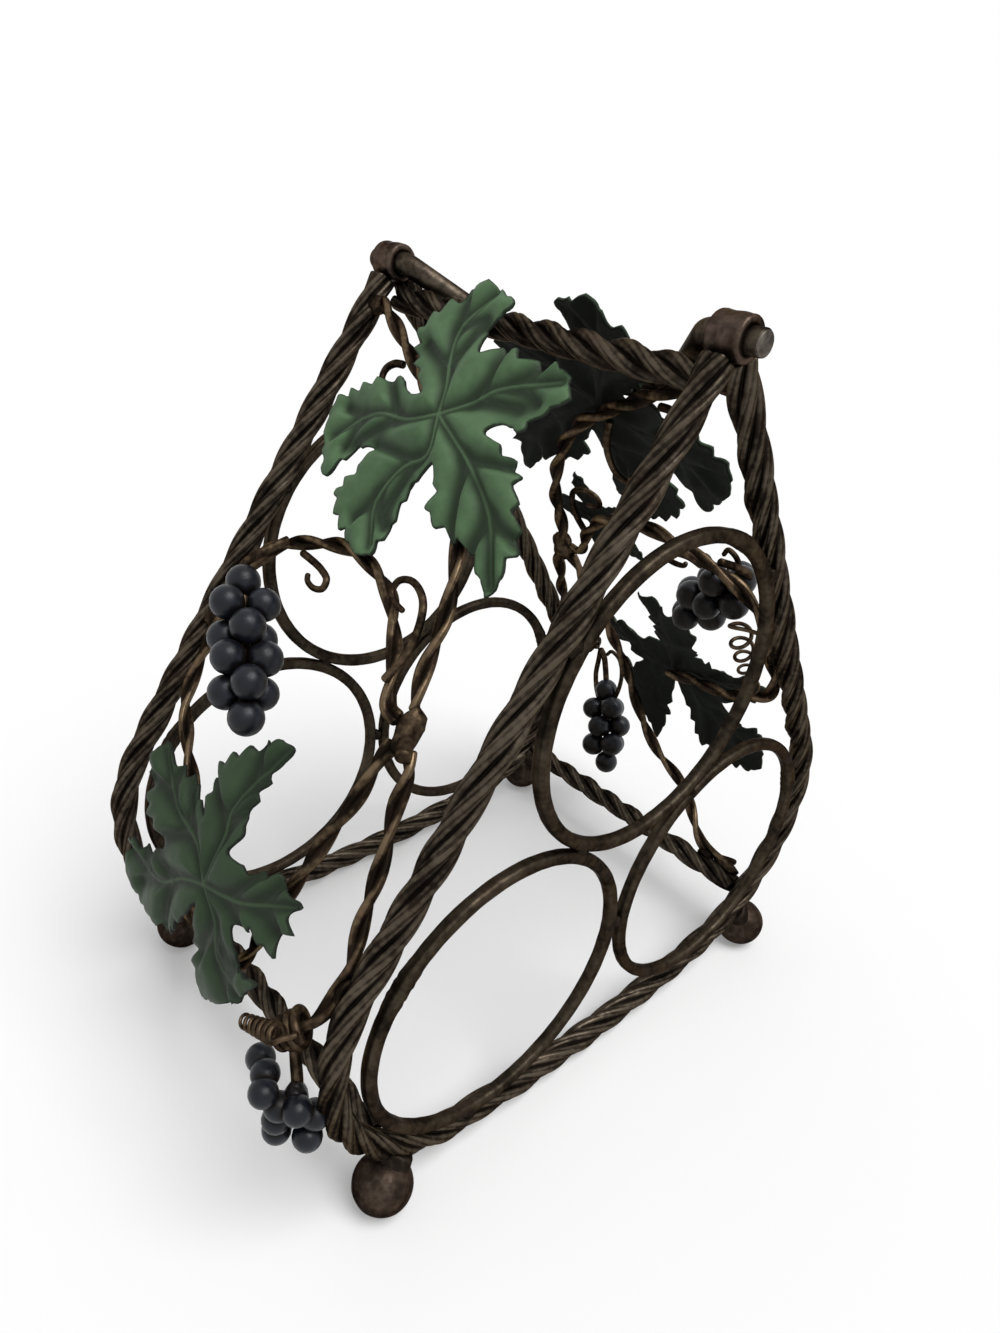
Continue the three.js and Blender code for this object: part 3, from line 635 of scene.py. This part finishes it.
# Vine knots
# Where the four vines of a side meet, they are run together in one lump of weld, drawn out along the vines.
# The cut end of one of them stands out of it sideways.
knot_end = 4.5
knot_size = np.array([0.72, 1.5, 0.75]) * knot_radius
middle, above = skin([(*knot_place, 0), (*knot_place, 1)])
outward = above - middle
sideways = np.array([1.0, 0, 0])
up = np.cross(outward, sideways)
lump, lump_faces = bead(np.zeros(3), knot_size, 5)
lump = middle + lump @ np.stack([sideways, up, outward])
cut_way = 0.72 * sideways - 0.5 * up + 0.48 * outward
stub_line = np.linspace(middle - up, middle - up + cut_way * (knot_radius + knot_end), 20)
stub = rod(stub_line, plain_wire(2.5), sides=28, step=0.5, ease=0.6)
knot = joined([(lump, lump_faces), stub])
for panel in panels:
    vine_piece(panel, "vine_knot_lump", knot, 0.6, "vine_knot")

# Tendrils
# Thin plain iron wires curl off the vines, forged down a little towards their rounded tips.
# Each is welded to its vine at its thick end and rubbed with bronze like the vine.
tendril_radius = 1.3
tendril_lift = 1.5
on_vine = vine_radius + seat + tendril_radius
tendril_routes = {
    "arch_tendril": (0, tendril_lift, [
        (-0.56, 0.2545), (-0.46, 0.2555), (-0.36, 0.258), (-0.29, 0.263), (-0.285, 0.271), (-0.34, 0.275),
        (-0.41, 0.2725), (-0.43, 0.267)]),
    "loop_tendril": (on_vine - 2 * seat, on_vine, [
        (0.36, 0.3045), (0.41, 0.28), (0.4, 0.255), (0.36, 0.2385), (0.3, 0.2305), (0.23, 0.228),
        (0.17, 0.233), (0.165, 0.243), (0.22, 0.249), (0.28, 0.251)]),
    "top_tendril": (1, tendril_lift, [
        (-0.523, 0.07), (-0.58, 0.072), (-0.62, 0.0785), (-0.615, 0.087), (-0.57, 0.092)]),
    "hook_tendril": (trunk_lift, 1, [
        (-0.17, 0.1075), (-0.13, 0.128), (-0.1, 0.15), (-0.115, 0.17), (-0.18, 0.177), (-0.22, 0.168)]),
}


def drawn_wire(radius, line, tip):
    length = run_of(line)[-1]

    def reach(around, run):
        return radius * (1 - (1 - tip) * ramp(run, 0, length) ** 2) + 0.06 * np.sin(run / 3 + around)
    return reach


def tendril(panel, name, route, stands_for=None):
    line = bent(skin(route))
    wire = rod(line, drawn_wire(tendril_radius, line, 0.7), sides=22, step=0.5, ease=0.7)
    vine_piece(panel, name, wire, 0.55, stands_for)


# Each route has the height of its welded end, the height of the rest, and its places on the skin
for panel, (name, (root_lift, lift, spots)) in product(panels, tendril_routes.items()):
    route = [(*spot, lift if k else root_lift) for k, spot in enumerate(spots)]
    tendril(panel, name + "_wire", route, name)

# Coiled tendrils
# One tendril on each side is wound round a mandrel into a tight coil of thin wire that narrows to its tip.
# It is slipped off, pulled open a little, and welded on by its straight lead.
coil_wire = 0.8
coil_tip = 0.7


def wound(lead, base, tip, turns, radius, tip_share, wire_radius):
    axis = tip - base
    across = unit(np.cross([0, 0, 1], axis))
    up = np.cross(unit(axis), across)
    share = np.linspace(0, 1, int(turns * 24) + 1)[:, None]
    turn = full_turn * turns * share
    radius = radius * (1 - (1 - tip_share) * share)
    winding = base + axis * share + radius * (across * np.cos(turn) + up * np.sin(turn))
    line = bent(np.concatenate([lead, winding]))
    return rod(line, drawn_wire(wire_radius, line, 0.6), sides=18, step=0.4, ease=0.4)


for panel, lead, first, last, turns, radius in (
        ("front", [(0.875, 0.5455, 10.6), (0.935, 0.538, 12.5)], (0.885, 0.5425, 15.2), (0.66, 0.5605, 15),
         6.5, 2.6),
        ("back", [(-0.86, 0.325, 0), (-0.79, 0.328, 0)], (-0.7, 0.34, 1), (-0.7, 0.455, 1), 5, 4.2)):
    coil = wound(skin(lead), *skin([first, last]), turns, radius, coil_tip, coil_wire)
    vine_piece(panel, "coil_tendril_wire", coil, 0.65, "coil_tendril")

# Wire bindings and small curls
# A few turns of wire bind the end of each leg vine where it crosses the rail, and two loose ends of wire curl
# in the open on the back side.
binding_wire = 1.4
binding_radius = vine_radius + 2.4
leg_line = bent(skin(vine_routes["leg_vine"]))
binding_ends = along(leg_line, run_of(leg_line)[-1] - np.array([11, 2]))
binding = wound(np.empty((0, 3)), *binding_ends, 3.4, binding_radius, 0.75, binding_wire)
for panel in panels:
    vine_piece(panel, "leg_vine_binding", binding, 0.55)
tendril("back", "lower_curl", [
    (0.775, 0.562, 12), (0.79, 0.58, 12.3), (0.796, 0.599, 12.3), (0.755, 0.616, 12.3), (0.69, 0.627, 12.3),
    (0.624, 0.629, 12.5), (0.582, 0.612, 13), (0.57, 0.588, 13.5), (0.616, 0.567, 14), (0.696, 0.563, 14.5),
    (0.75, 0.572, 15)])
tendril("back", "upper_curl", [
    (-0.55, 0.25, 3), (-0.51, 0.27, 7), (-0.5, 0.295, 9.5), (-0.53, 0.308, 10), (-0.6, 0.304, 10),
    (-0.647, 0.286, 10.5), (-0.646, 0.266, 11), (-0.6, 0.26, 11.5), (-0.55, 0.272, 12)])

# Leaves
# Each vine leaf is cut from sheet iron with toothed lobes, embossed with ribs and veins, dished a little, and
# fixed to its vine. It is painted in satin green, worn dark along the cut edge.
leaf_thickness = 1.4
vein_height = 0.7
sheet = 1.0
tooth_length = 7
tooth_depth = 2.3
press_height = 3.6
press_level = 1.2
rim_drop = 0.8
rim_width = 1.5
rib_height = 0.6
rib_width = 0.5
rib_hollow = 2.8
side_vein_height = 0.3
side_vein_width = 0.45
side_vein_hollow, hollow_slant = 3.5, 1.7
wave_height = 0.9
leaf_on_vine = vine_radius + seat + (vein_height + leaf_thickness) / 2


# Satin green paint brushed over the embossed iron. It gives the eye a soft dark green, painted shade deep
# in the hollows, paler along the ribs, rubbed through at the rim and painted shade nearly black underneath.
def satin_green():
    finish, shader, add, _, rib, hollow, edge, grime, under, cloud, brush, grit = new_finish(
        "satin_green_paint_on_sheet_iron", ["rib", "hollow", "edge", "grime", "under"],
        [(16, 3), (3, 5), (0.6, 2)])
    shade = add("MapRange", {0: scaled(add, brush, 0.4, cloud), 1: 0.45, 2: 0.95})
    # Painted shade: the pressed hollows between the veins are darkened towards near black green
    deep = scaled(add, hollow, 0.88)
    pale = scaled(add, rib, 0.16)
    rubbed = add("MapRange", {0: scaled(add, brush, 1.2, edge), 1: 1.2, 2: 1.6, 4: 0.8})
    # The leaf shade share is painted shade that darkens the whole leaf
    body = tinted(add, "#40583d", ((shade, "#5b7755"), (grime, "#1a2517"), (deep, "#161f13"),
                                   (pale, "#6b8364"), (rubbed, "#141a13"), (under, "#171a14")))
    # Painted shade underneath: the underside is tinted nearly black, with rougher paint and less sheen
    dull = add("MapRange", {0: brush, 1: 0.3, 2: 0.7, 3: 0.48, 4: 0.6})
    dull = scaled(add, under, 0.25, dull)
    sheen = add("MapRange", {0: under, 3: 0.18, 4: 0.15})
    strokes = scaled(add, grit, 0.3, brush)
    bump = add("Bump", {"Height": strokes, "Strength": 0.35, "Distance": 0.0004})
    fill(shader, {"Base Color": body, "Roughness": dull, "Specular IOR Level": sheen, "Normal": bump})
    return finish


leaf_green = satin_green()


def polar(places):
    turn, far = np.asarray(places, float).T
    return np.stack([far * np.cos(np.radians(turn)), far * np.sin(np.radians(turn))], 1)


# Teeth along a cut edge, from each notch out to the tip of its lobe. Each tooth leans towards the tip and is
# a little rounded. They die out at the middle, the notch, the tip, hard bends, points and inner shoulders.
tooth_shape = ((0, 0), (0.1, 0.45), (0.22, 1), (0.34, 0.94), (0.52, 0.64), (0.72, 0.3), (0.9, 0.06))
bend_fade, middle_fade, tip_fade, notch_fade, smooth_fade = (0.75, 0.2), (11, 10), (3, 8), (4, 5), (2, 6)


def toothed(corners):
    following = np.roll(corners, -1, 0)
    left_hand = np.sign((corners[:, 0] * following[:, 1] - corners[:, 1] * following[:, 0]).sum())
    opening = (unit(np.roll(corners, 1, 0) - corners) * unit(following - corners)).sum(1)
    reach = length_of(corners)
    smooth = corners[(opening > 0) | ((opening > -0.75) & (reach < 0.42 * reach.max()))]
    tips = np.flatnonzero((reach > np.roll(reach, 1)) & (reach >= np.roll(reach, -1)))
    edge = []
    for first, last in zip(tips, np.append(tips[1:], tips[0] + len(corners))):
        valley = bent(np.take(corners, np.arange(first, last + 1), axis=0, mode="wrap"))
        notch = np.argmin(length_of(valley))
        for line, hand in ((valley[notch::-1], -left_hand), (valley[notch:], left_hand)):
            length = run_of(line)[-1]
            teeth = max(1, round(length / tooth_length))
            places = [(k + t) * length / teeth for k in range(teeth) for t, _ in tooth_shape]
            places = np.array(places + [length])
            depth = np.array([low for _, low in tooth_shape] * teeth + [0])
            spot = along(line, places)
            way = heading(line, places, 0.4)
            inward = np.stack([-way[:, 1], way[:, 0]], 1) * hand
            onward, past = along(line, places + 3) - spot, spot - along(line, places - 3)
            lengths = length_of(onward) * length_of(past)
            straight = (onward * past).sum(1) / np.maximum(lengths, 1e-6)
            from_smooth = length_of(spot[:, None] - smooth).min(1, initial=inf)
            depth = depth * ramp(straight, *bend_fade) * ramp(length_of(spot), *middle_fade)
            depth = depth * ramp(length - places, *tip_fade) * ramp(places, *notch_fade)
            depth = depth * ramp(from_smooth, *smooth_fade)
            cut = spot + inward * tooth_depth * depth[:, None]
            edge.append(cut[:0:-1] if hand == -left_hand else cut[:-1])
    return np.concatenate(edge)


def inside(points, edge):
    x, y = points[:, :1], points[:, 1:]
    x0, y0 = edge.T
    x1, y1 = np.roll(x0, -1), np.roll(y0, -1)
    crosses = (y0 > y) != (y1 > y)
    at = x0 + (y - y0) / np.where(y1 == y0, 1e-9, y1 - y0) * (x1 - x0)
    return (crosses & (x < at)).sum(1) % 2 == 1


# How far each point is from each straight piece of a line, and the way from the line to the point
def away(points, starts, stops):
    way = stops - starts
    from_start = points[:, None] - starts
    share = np.clip((from_start * way).sum(2) / np.maximum((way ** 2).sum(1), 1e-9), 0, 1)
    apart = from_start - share[:, :, None] * way
    return length_of(apart), apart


# From 1 at no distance down to nothing past a width
def faded(distance, width):
    return np.exp(-(distance / width) ** 2)


# Two pairs of side veins leave each rib. Each has a start, a stop and a way across it towards the tip.
def side_veins(rib_lines):
    fork, forks_at, vein_share = 0.7, (0.36, 0.7), 0.46
    starts, stops, tipward = [], [], []
    for line, share, turn in product(rib_lines, forks_at, (-fork, fork)):
        length = run_of(line)[-1]
        spot = along(line, share * length)
        ahead = unit(along(line, (share + 0.1) * length) - spot)
        c, s = cos(turn), sin(turn)
        way = np.array([c * ahead[0] - s * ahead[1], s * ahead[0] + c * ahead[1]])
        starts.append(spot)
        stops.append(spot + way * vein_share * length * (1.15 - share))
        tipward.append((ahead - way * (ahead @ way)) / abs(s))
    return np.array(starts), np.array(stops), np.array(tipward)


# The flat cut sheet as triangles, in even rows with finer ones along the ribs
def cut_sheet(edge, rib_starts, rib_stops):
    spacing, rib_spacing, rib_clear, edge_clear = 0.85, 0.7, 1.2, 0.5
    low, high = edge.min(0), edge.max(0)
    grid = np.array([(x + (j % 2) * spacing / 2, y)
                     for j, y in enumerate(np.arange(low[1], high[1], spacing * 0.87))
                     for x in np.arange(low[0], high[0], spacing)])
    rows = []
    for a, b in zip(rib_starts, rib_stops):
        way = unit(b - a)
        row = a + np.arange(0.3, length_of(b - a), rib_spacing)[:, None] * way
        rows += [row + offset * np.array([-way[1], way[0]]) for offset in (-0.85, -0.4, 0, 0.4, 0.85)]
    grid = np.concatenate([grid[away(grid, rib_starts, rib_stops)[0].min(1) > rib_clear], *rows])
    grid = grid[inside(grid, edge)]
    grid = grid[away(grid, edge, np.roll(edge, -1, 0))[0].min(1) > edge_clear]
    spots = [Vector(p) for p in np.concatenate([edge, grid])]
    ring = list(range(len(edge)))
    made = geometry.delaunay_2d_cdt(spots, list(zip(ring, ring[1:] + ring[:1])), [], 1, 1e-4)
    return np.array([tuple(p) for p in made[0]]), np.array(made[2])


def vine_leaf(panel, kind, at, corners, ribs, droop, grime):
    edge = toothed(polar(corners))
    rib_lines = [bent(np.concatenate([[[0, 0]], polar(rib)]))[::6] for rib in ribs]
    rib_starts = np.concatenate([line[:-1] for line in rib_lines])
    rib_stops = np.concatenate([line[1:] for line in rib_lines])
    vein_starts, vein_stops, tipward = side_veins(rib_lines)
    flat, found = cut_sheet(edge, rib_starts, rib_stops)

    # The sheet is pressed up between the veins, steeply on the side of each vein that looks to the tip
    to_rib = away(flat, rib_starts, rib_stops)[0].min(1)
    to_veins, apart = away(flat, vein_starts, vein_stops)
    facing = (apart * tipward).sum(2) / np.maximum(to_veins, 1e-6)
    puff = np.prod(1 - faded(to_veins, side_vein_hollow - hollow_slant * facing), axis=1)
    puff = puff * (1 - faded(to_rib, rib_hollow))
    to_edge = away(flat, edge, np.roll(edge, -1, 0))[0].min(1)
    far = length_of(flat)
    far_share = far / far.max()
    fade = np.clip(1.2 - far_share, 0.2, 1)
    rib = faded(to_rib, rib_width) * fade
    vein = faded(to_veins.min(1), side_vein_width) * fade
    height = press_height * puff + rib_height * rib + side_vein_height * vein - press_level
    height = height - rim_drop * faded(to_edge, rim_width)
    height = height + wave_height * np.sin(flat[:, 0] / 9 + 1) * np.sin(flat[:, 1] / 11) * far_share
    lift = at[2] - droop * far_share ** 2
    u, f = at[0] + flat[:, 0] / loop_x, at[1] - flat[:, 1] / half_outline
    top = skin(np.stack([u, f, lift + sheet / 2 + height], 1))
    below = skin(np.stack([u, f, lift - sheet / 2 + height * 0.8], 1))

    count = len(flat)
    faces = found.tolist() + (found[:, ::-1] + count).tolist()
    sides = {pair for a, b, c in found.tolist() for pair in ((a, b), (b, c), (c, a))}
    faces += [[b, a, a + count, b + count] for a, b in sorted(sides) if (b, a) not in sides]
    # Painted shade rides on the marks in the hollows and on the whole underside
    piece(f"{panel}_{kind}_plate", on_panel(panel, np.concatenate([top, below]), faces), leaf_green,
          [f"{panel}_{kind}"], "green_paint", rib=np.tile(np.maximum(rib, 0.4 * vein), 2),
          hollow=np.tile(faded(puff, 0.35) * (1 - rib), 2),
          edge=np.tile(faded(to_edge, 0.7), 2), grime=grime, under=np.repeat([0.0, 1.0], count))


# Corners of the cut outline and the bends of the ribs, as an angle from the right and a distance from the
# place where the ribs meet. Each lobe starts a line of its own, from one notch to the next.
upper_corners = [
    (150, 24), (142, 35), (122, 40), (102, 44), (81, 38), (86, 29), (78, 21),
    (66, 27), (42, 36), (35, 43), (21, 46), (16, 40), (5, 33), (8, 26), (-1, 22),
    (-4, 31), (-9, 40), (-17, 46), (-29, 58), (-41, 63),
    (-43, 48), (-49, 43), (-61, 32), (-55, 23), (-57, 17),
    (-68, 19), (-81, 31), (-87, 46), (-96, 49), (-118, 48), (-129, 44), (-132, 30), (-138, 26),
    (-145, 32), (-140, 49), (-160, 54), (-173, 53), (-181, 41), (-196, 26), (-190, 14), (-204, 10),
]
upper_ribs = [[(107, 8), (114, 18), (112, 29), (97, 39)], [(31, 13), (36, 21), (30, 41)],
              [(-26, 24), (-30, 42), (-39, 60)], [(-74, 13), (-101, 19), (-105, 33), (-93, 44)],
              [(-158, 13), (-167, 28), (-158, 49)]]
lower_corners = [
    (-174, 28), (175, 43), (162, 54), (154, 55), (148, 41), (139, 33), (128, 20),
    (129, 29), (121, 36), (103, 44), (90, 51), (81, 52), (83, 39), (79, 25), (69, 23), (68, 15),
    (43, 22), (36, 35), (29, 38), (24, 46), (20, 40), (14, 46), (11, 39), (4, 42), (3, 33), (-5, 19),
    (-16, 29), (-9, 40), (-22, 37), (-35, 36), (-53, 34), (-82, 38), (-87, 22), (-82, 13), (-80, 5),
    (-109, 14), (-120, 31), (-131, 41), (-146, 54), (-154, 58), (-168, 50), (-168, 37),
]
lower_ribs = [[(146, 13), (161, 31), (155, 53)], [(93, 16), (98, 24), (84, 50)], [(16, 20), (23, 42)],
              [(-30, 13), (-46, 21), (-30, 34)], [(-159, 12), (-152, 27), (-162, 50)]]
upper_place = (-0.08, 0.102, trunk_lift + leaf_on_vine)
lower_place = (0.04, 0.527, arch_lift + leaf_on_vine)
# The lower leaves take painted shade over their whole sheet, the upper leaves none
for panel in panels:
    vine_leaf(panel, "upper_leaf", upper_place, upper_corners, upper_ribs, droop=6, grime=0)
    vine_leaf(panel, "lower_leaf", lower_place, lower_corners, lower_ribs, droop=1, grime=0.74)

# A small leaf on the back stands off its vine on a stalk of wire
middle_corners = [(15, 24), (-5, 19), (-22, 10), (-60, 17), (-85, 22), (-105, 17), (-115, 10), (-135, 19),
                  (-145, 24), (-165, 18), (-178, 10), (-200, 20), (-210, 26), (-230, 19), (-245, 10),
                  (-268, 20), (-280, 26), (-300, 18), (-312, 10), (-330, 19)]
middle_ribs = [[(15, 22)], [(80, 24)], [(150, 24)], [(215, 22)], [(275, 20)]]
stalk = [(0.29, 0.286, lift) for lift in (vine_radius + seat, 6, 9.8)]
# The middle leaf takes a little painted shade over its whole sheet
vine_leaf("back", "middle_leaf", stalk[-1], middle_corners, middle_ribs, droop=2, grime=0.2)
stalk_wire = rod(bent(skin(stalk)), plain_wire(tendril_radius), sides=20, step=0.5, ease=0.5)
vine_piece("back", "middle_leaf_stalk", stalk_wire, 0.5)

# Grapes
# Bunches of round iron berries hang from the vines on a wire stem, welded together where they touch.
# They are painted dark blue and rubbed with brown in the joints.
grape_radius = 5.8
small_grape_radius = 4.5
stem_radius = 1.5
loose_stem_radius = 1.8
grape_nip = 0.2


# Matte dark blue paint dabbed on small iron balls. It gives the eye a blue-black with a soft bloom on top of
# each berry, brown worked into the joints, and brown painted shade on the side that faces the vine.
def grape_blue():
    finish, shader, add, _, joint, inner, bloom, speck = new_finish(
        "matte_dark_blue_paint_on_iron_berries", ["joint", "inner"], [(6, 4), (0.9, 3)])
    misty = add("MapRange", {0: bloom, 1: 0.4, 2: 0.72})
    # The joint mark also takes in the painted shade on the side that faces the vine
    joint = add("Math", {0: joint, 1: inner}, operation="MAXIMUM")
    brown = add("MapRange", {0: scaled(add, bloom, 0.9, joint), 1: 0.75, 2: 1.35, 4: 0.85})
    body = tinted(add, "#0a0c13", ((misty, "#181c27"), (brown, "#19140f")))
    sheen = add("MapRange", {0: brown, 3: 0.28, 4: 0.1})
    dull = add("MapRange", {0: speck, 1: 0.3, 2: 0.7, 3: 0.3, 4: 0.44})
    bump = add("Bump", {"Height": speck, "Strength": 0.25, "Distance": 0.0002})
    fill(shader, {"Base Color": body, "Roughness": dull, "Specular IOR Level": sheen, "Normal": bump})
    return finish


berry_blue = grape_blue()


def bunch(panel, kind, stem, thickness, centres, radius):
    berries, joints, inner = [], [], []
    on_skin, above = skin([(0, 0.3, 0), (0, 0.3, 1)])
    for k, centre in enumerate(centres):
        points = centre + ball * radius * (1 + 0.03 * sin(5 * k))
        berries.append((points, ball_faces))
        others = np.delete(centres, k, 0)
        near = length_of(points[:, None] - others).min(1) - radius
        joints.append(faded(near, 0.3 * radius))
        # Painted shade: the side of each berry that faces the vine is darkened brown
        inner.append(np.clip(0.25 - 1.6 * (points - centre) @ (above - on_skin) / radius, 0, 1))
    piece(f"{panel}_{kind}_berries", on_panel(panel, *joined(berries)), berry_blue, [f"{panel}_{kind}"],
          "dark_blue_paint", joint=np.concatenate(joints), inner=np.concatenate(inner))
    wire = rod(bent(stem), plain_wire(thickness), sides=20, step=0.6, ease=0.6)
    vine_piece(panel, kind + "_stem", wire, 0.6)


# Berries packed in rows of one to three round a straight stem
def packed(top, low, rows, radius):
    axis = unit(low - top)
    across = unit(np.cross([1, 0, 0], axis))
    sideways = np.cross(axis, across)
    centres, spine = [], [top]
    for row, count in enumerate(rows):
        middle = top + axis * (radius + radius * sqrt(8 / 3) * row)
        spine.append(middle)
        spread = 0 if count == 1 else radius / sin(pi / count)
        for k in range(count):
            turn = full_turn * k / count + row * pi / 3
            centres.append(middle + spread * (across * cos(turn) + sideways * sin(turn)))
    return np.array(centres), spine


# Where each full bunch's stem leaves its vine, where its first and last berries point, and its rows
upper_bunch = ([(-0.64, 0.25, vine_radius + seat + grape_nip), (-0.67, 0.272, 9)],
               [(-0.69, 0.29, 12), (-0.11, 0.41, 10)], [1, 3, 3, 3, 3, 1])
lower_bunch = ([(0.771, 0.5618, 11.6), (0.75, 0.572, 13)], [(0.71, 0.6, 14), (0.4, 0.7, 16)], [1, 3, 3, 3, 1])
for panel, kind, (hang, reach, rows) in (("front", "upper_grapes", upper_bunch),
                                         ("back", "upper_grapes", upper_bunch),
                                         ("back", "lower_grapes", lower_bunch)):
    centres, spine = packed(*skin(reach), rows, grape_radius)
    bunch(panel, kind, np.concatenate([skin(hang), spine]), stem_radius, centres, grape_radius)

# The front lower bunch has lost berries, so the rest hang loosely round a thick bare stem
stem_top = skin([(0.85, 0.5775, 8.8)])[0]
loose_stem = stem_top + [(-5, 6.2, -1), (-2, 4.6, -6), (0.6, 3.2, -11), (3, 1, -15)]
loose_berries = stem_top + [(-13.2, -0.8, -10.7), (-6.1, -3.2, -8.4), (-1.1, -6.7, -8.6), (6.7, -0.6, -13),
                            (7.2, 4.9, -18.9), (1.5, -3.5, -14.5), (0.5, -4, -21), (-0.6, -3.5, -27.6),
                            (6.9, 2.3, -27.3)]
bunch("front", "lower_grapes", loose_stem, loose_stem_radius, loose_berries, small_grape_radius)
cap = bead(stem_top + [2.2, 1.8, -13.2], [3.6, 3.6, 4.6], 9)
# The cap takes joint brown and some painted shade
piece("front_lower_grapes_cap", cap, berry_blue, slot="dark_blue_paint", joint=0.8, inner=0.6)

# Floor and light
# A pale seamless floor under soft even studio light, as in the photograph. The camera, a mirror or glass sees
# the open room as white, and the floor keeps the rack's soft shadow.
floor_size = 40
fade_start, fade_end = 0.12, 0.5
floor_mesh = bpy.data.meshes.new("studio_floor")
corners = [(x * floor_size, y * floor_size, 0) for x, y in ((-1, -1), (1, -1), (1, 1), (-1, 1))]
floor_mesh.from_pydata(corners, [], [(0, 1, 2, 3)])
floor = added("studio_floor", floor_mesh)


# Rays from the camera, or by way of metal or glass, see the white room. The rest meet its softer light.
def sees_room(add):
    seen = 0.0
    for ray in ("Is Camera Ray", "Is Glossy Ray", "Is Transmission Ray"):
        seen = add("Math", {0: seen, 1: add("LightPath", {}, ray)}, operation="MAXIMUM")
    return seen


# White paper, matte to the eye, which the camera sees fade into the white room away from the rack
paper, shader, add, place = new_finish("matte_white_paper")
fill(shader, {"Base Color": colour("#f4f4f4"), "Roughness": 0.9, "Specular IOR Level": 0.1})
from_rack = add("VectorMath", {0: place}, "Value", operation="LENGTH")
fade = add("MapRange", {0: from_rack, 1: fade_start, 2: fade_end, 3: 0.2}, interpolation_type="SMOOTHSTEP")
fade = scaled(add, fade, sees_room(add))
white = add("Emission", {"Strength": 1.0})
blend = add("MixShader", {0: fade, 1: shader.outputs[0], 2: white})
fill(paper.node_tree.nodes["Material Output"], {"Surface": blend})
floor_mesh.materials.append(paper)

# The room is brighter overhead than at the floor
world = bpy.data.worlds.new("white_room")
scene.world = world
world.use_nodes = True
add = partial(node, world.node_tree)
height = add("SeparateXYZ", {0: add("TexCoord", {}, "Generated")}, "Z")
overhead = add("MapRange", {0: height, 1: -0.1, 2: 0.8, 3: 0.18, 4: 0.56}, interpolation_type="SMOOTHSTEP")
level = add("MapRange", {0: sees_room(add), 3: overhead, 4: 1.0})
fill(world.node_tree.nodes["Background"], {"Color": (1, 1, 1, 1), "Strength": level})

# A wide soft window stands above and to the right
lamp = bpy.data.lights.new("window", "SUN")
lamp.energy = 2.2
lamp.angle = radians(40)
window = added("window", lamp)
window.rotation_euler = Vector((0.42, 0.12, 0.88)).to_track_quat("Z", "Y").to_euler()

# Camera
# It stands where the photographer's phone was, close to one corner of the rack and a little above it.
# It is turned a few degrees, and the lens is shifted as the photograph was cropped.
camera_turn = radians(46.636)
camera_rise = radians(31.216)
camera_roll = radians(5.169)
camera_distance = 333.204
camera_aim = np.array([0.808, -11.502, 125.735]) + rack_middle
lens = bpy.data.cameras.new("camera")
lens.lens = 24.488
lens.sensor_width = 36
lens.shift_x = 0.02103
lens.shift_y = 0.03009
lens.clip_start = 0.01
lens.clip_end = 100
camera = added("camera", lens)
camera.matrix_world = (
    Matrix.Translation(camera_aim / 1000) @ Matrix.Rotation(camera_turn, 4, "Z")
    @ Matrix.Rotation(pi / 2 - camera_rise, 4, "X") @ Matrix.Rotation(camera_roll, 4, "Z")
    @ Matrix.Translation((0, 0, camera_distance / 1000)))
scene.camera = camera
scene.view_settings.view_transform = "Standard"
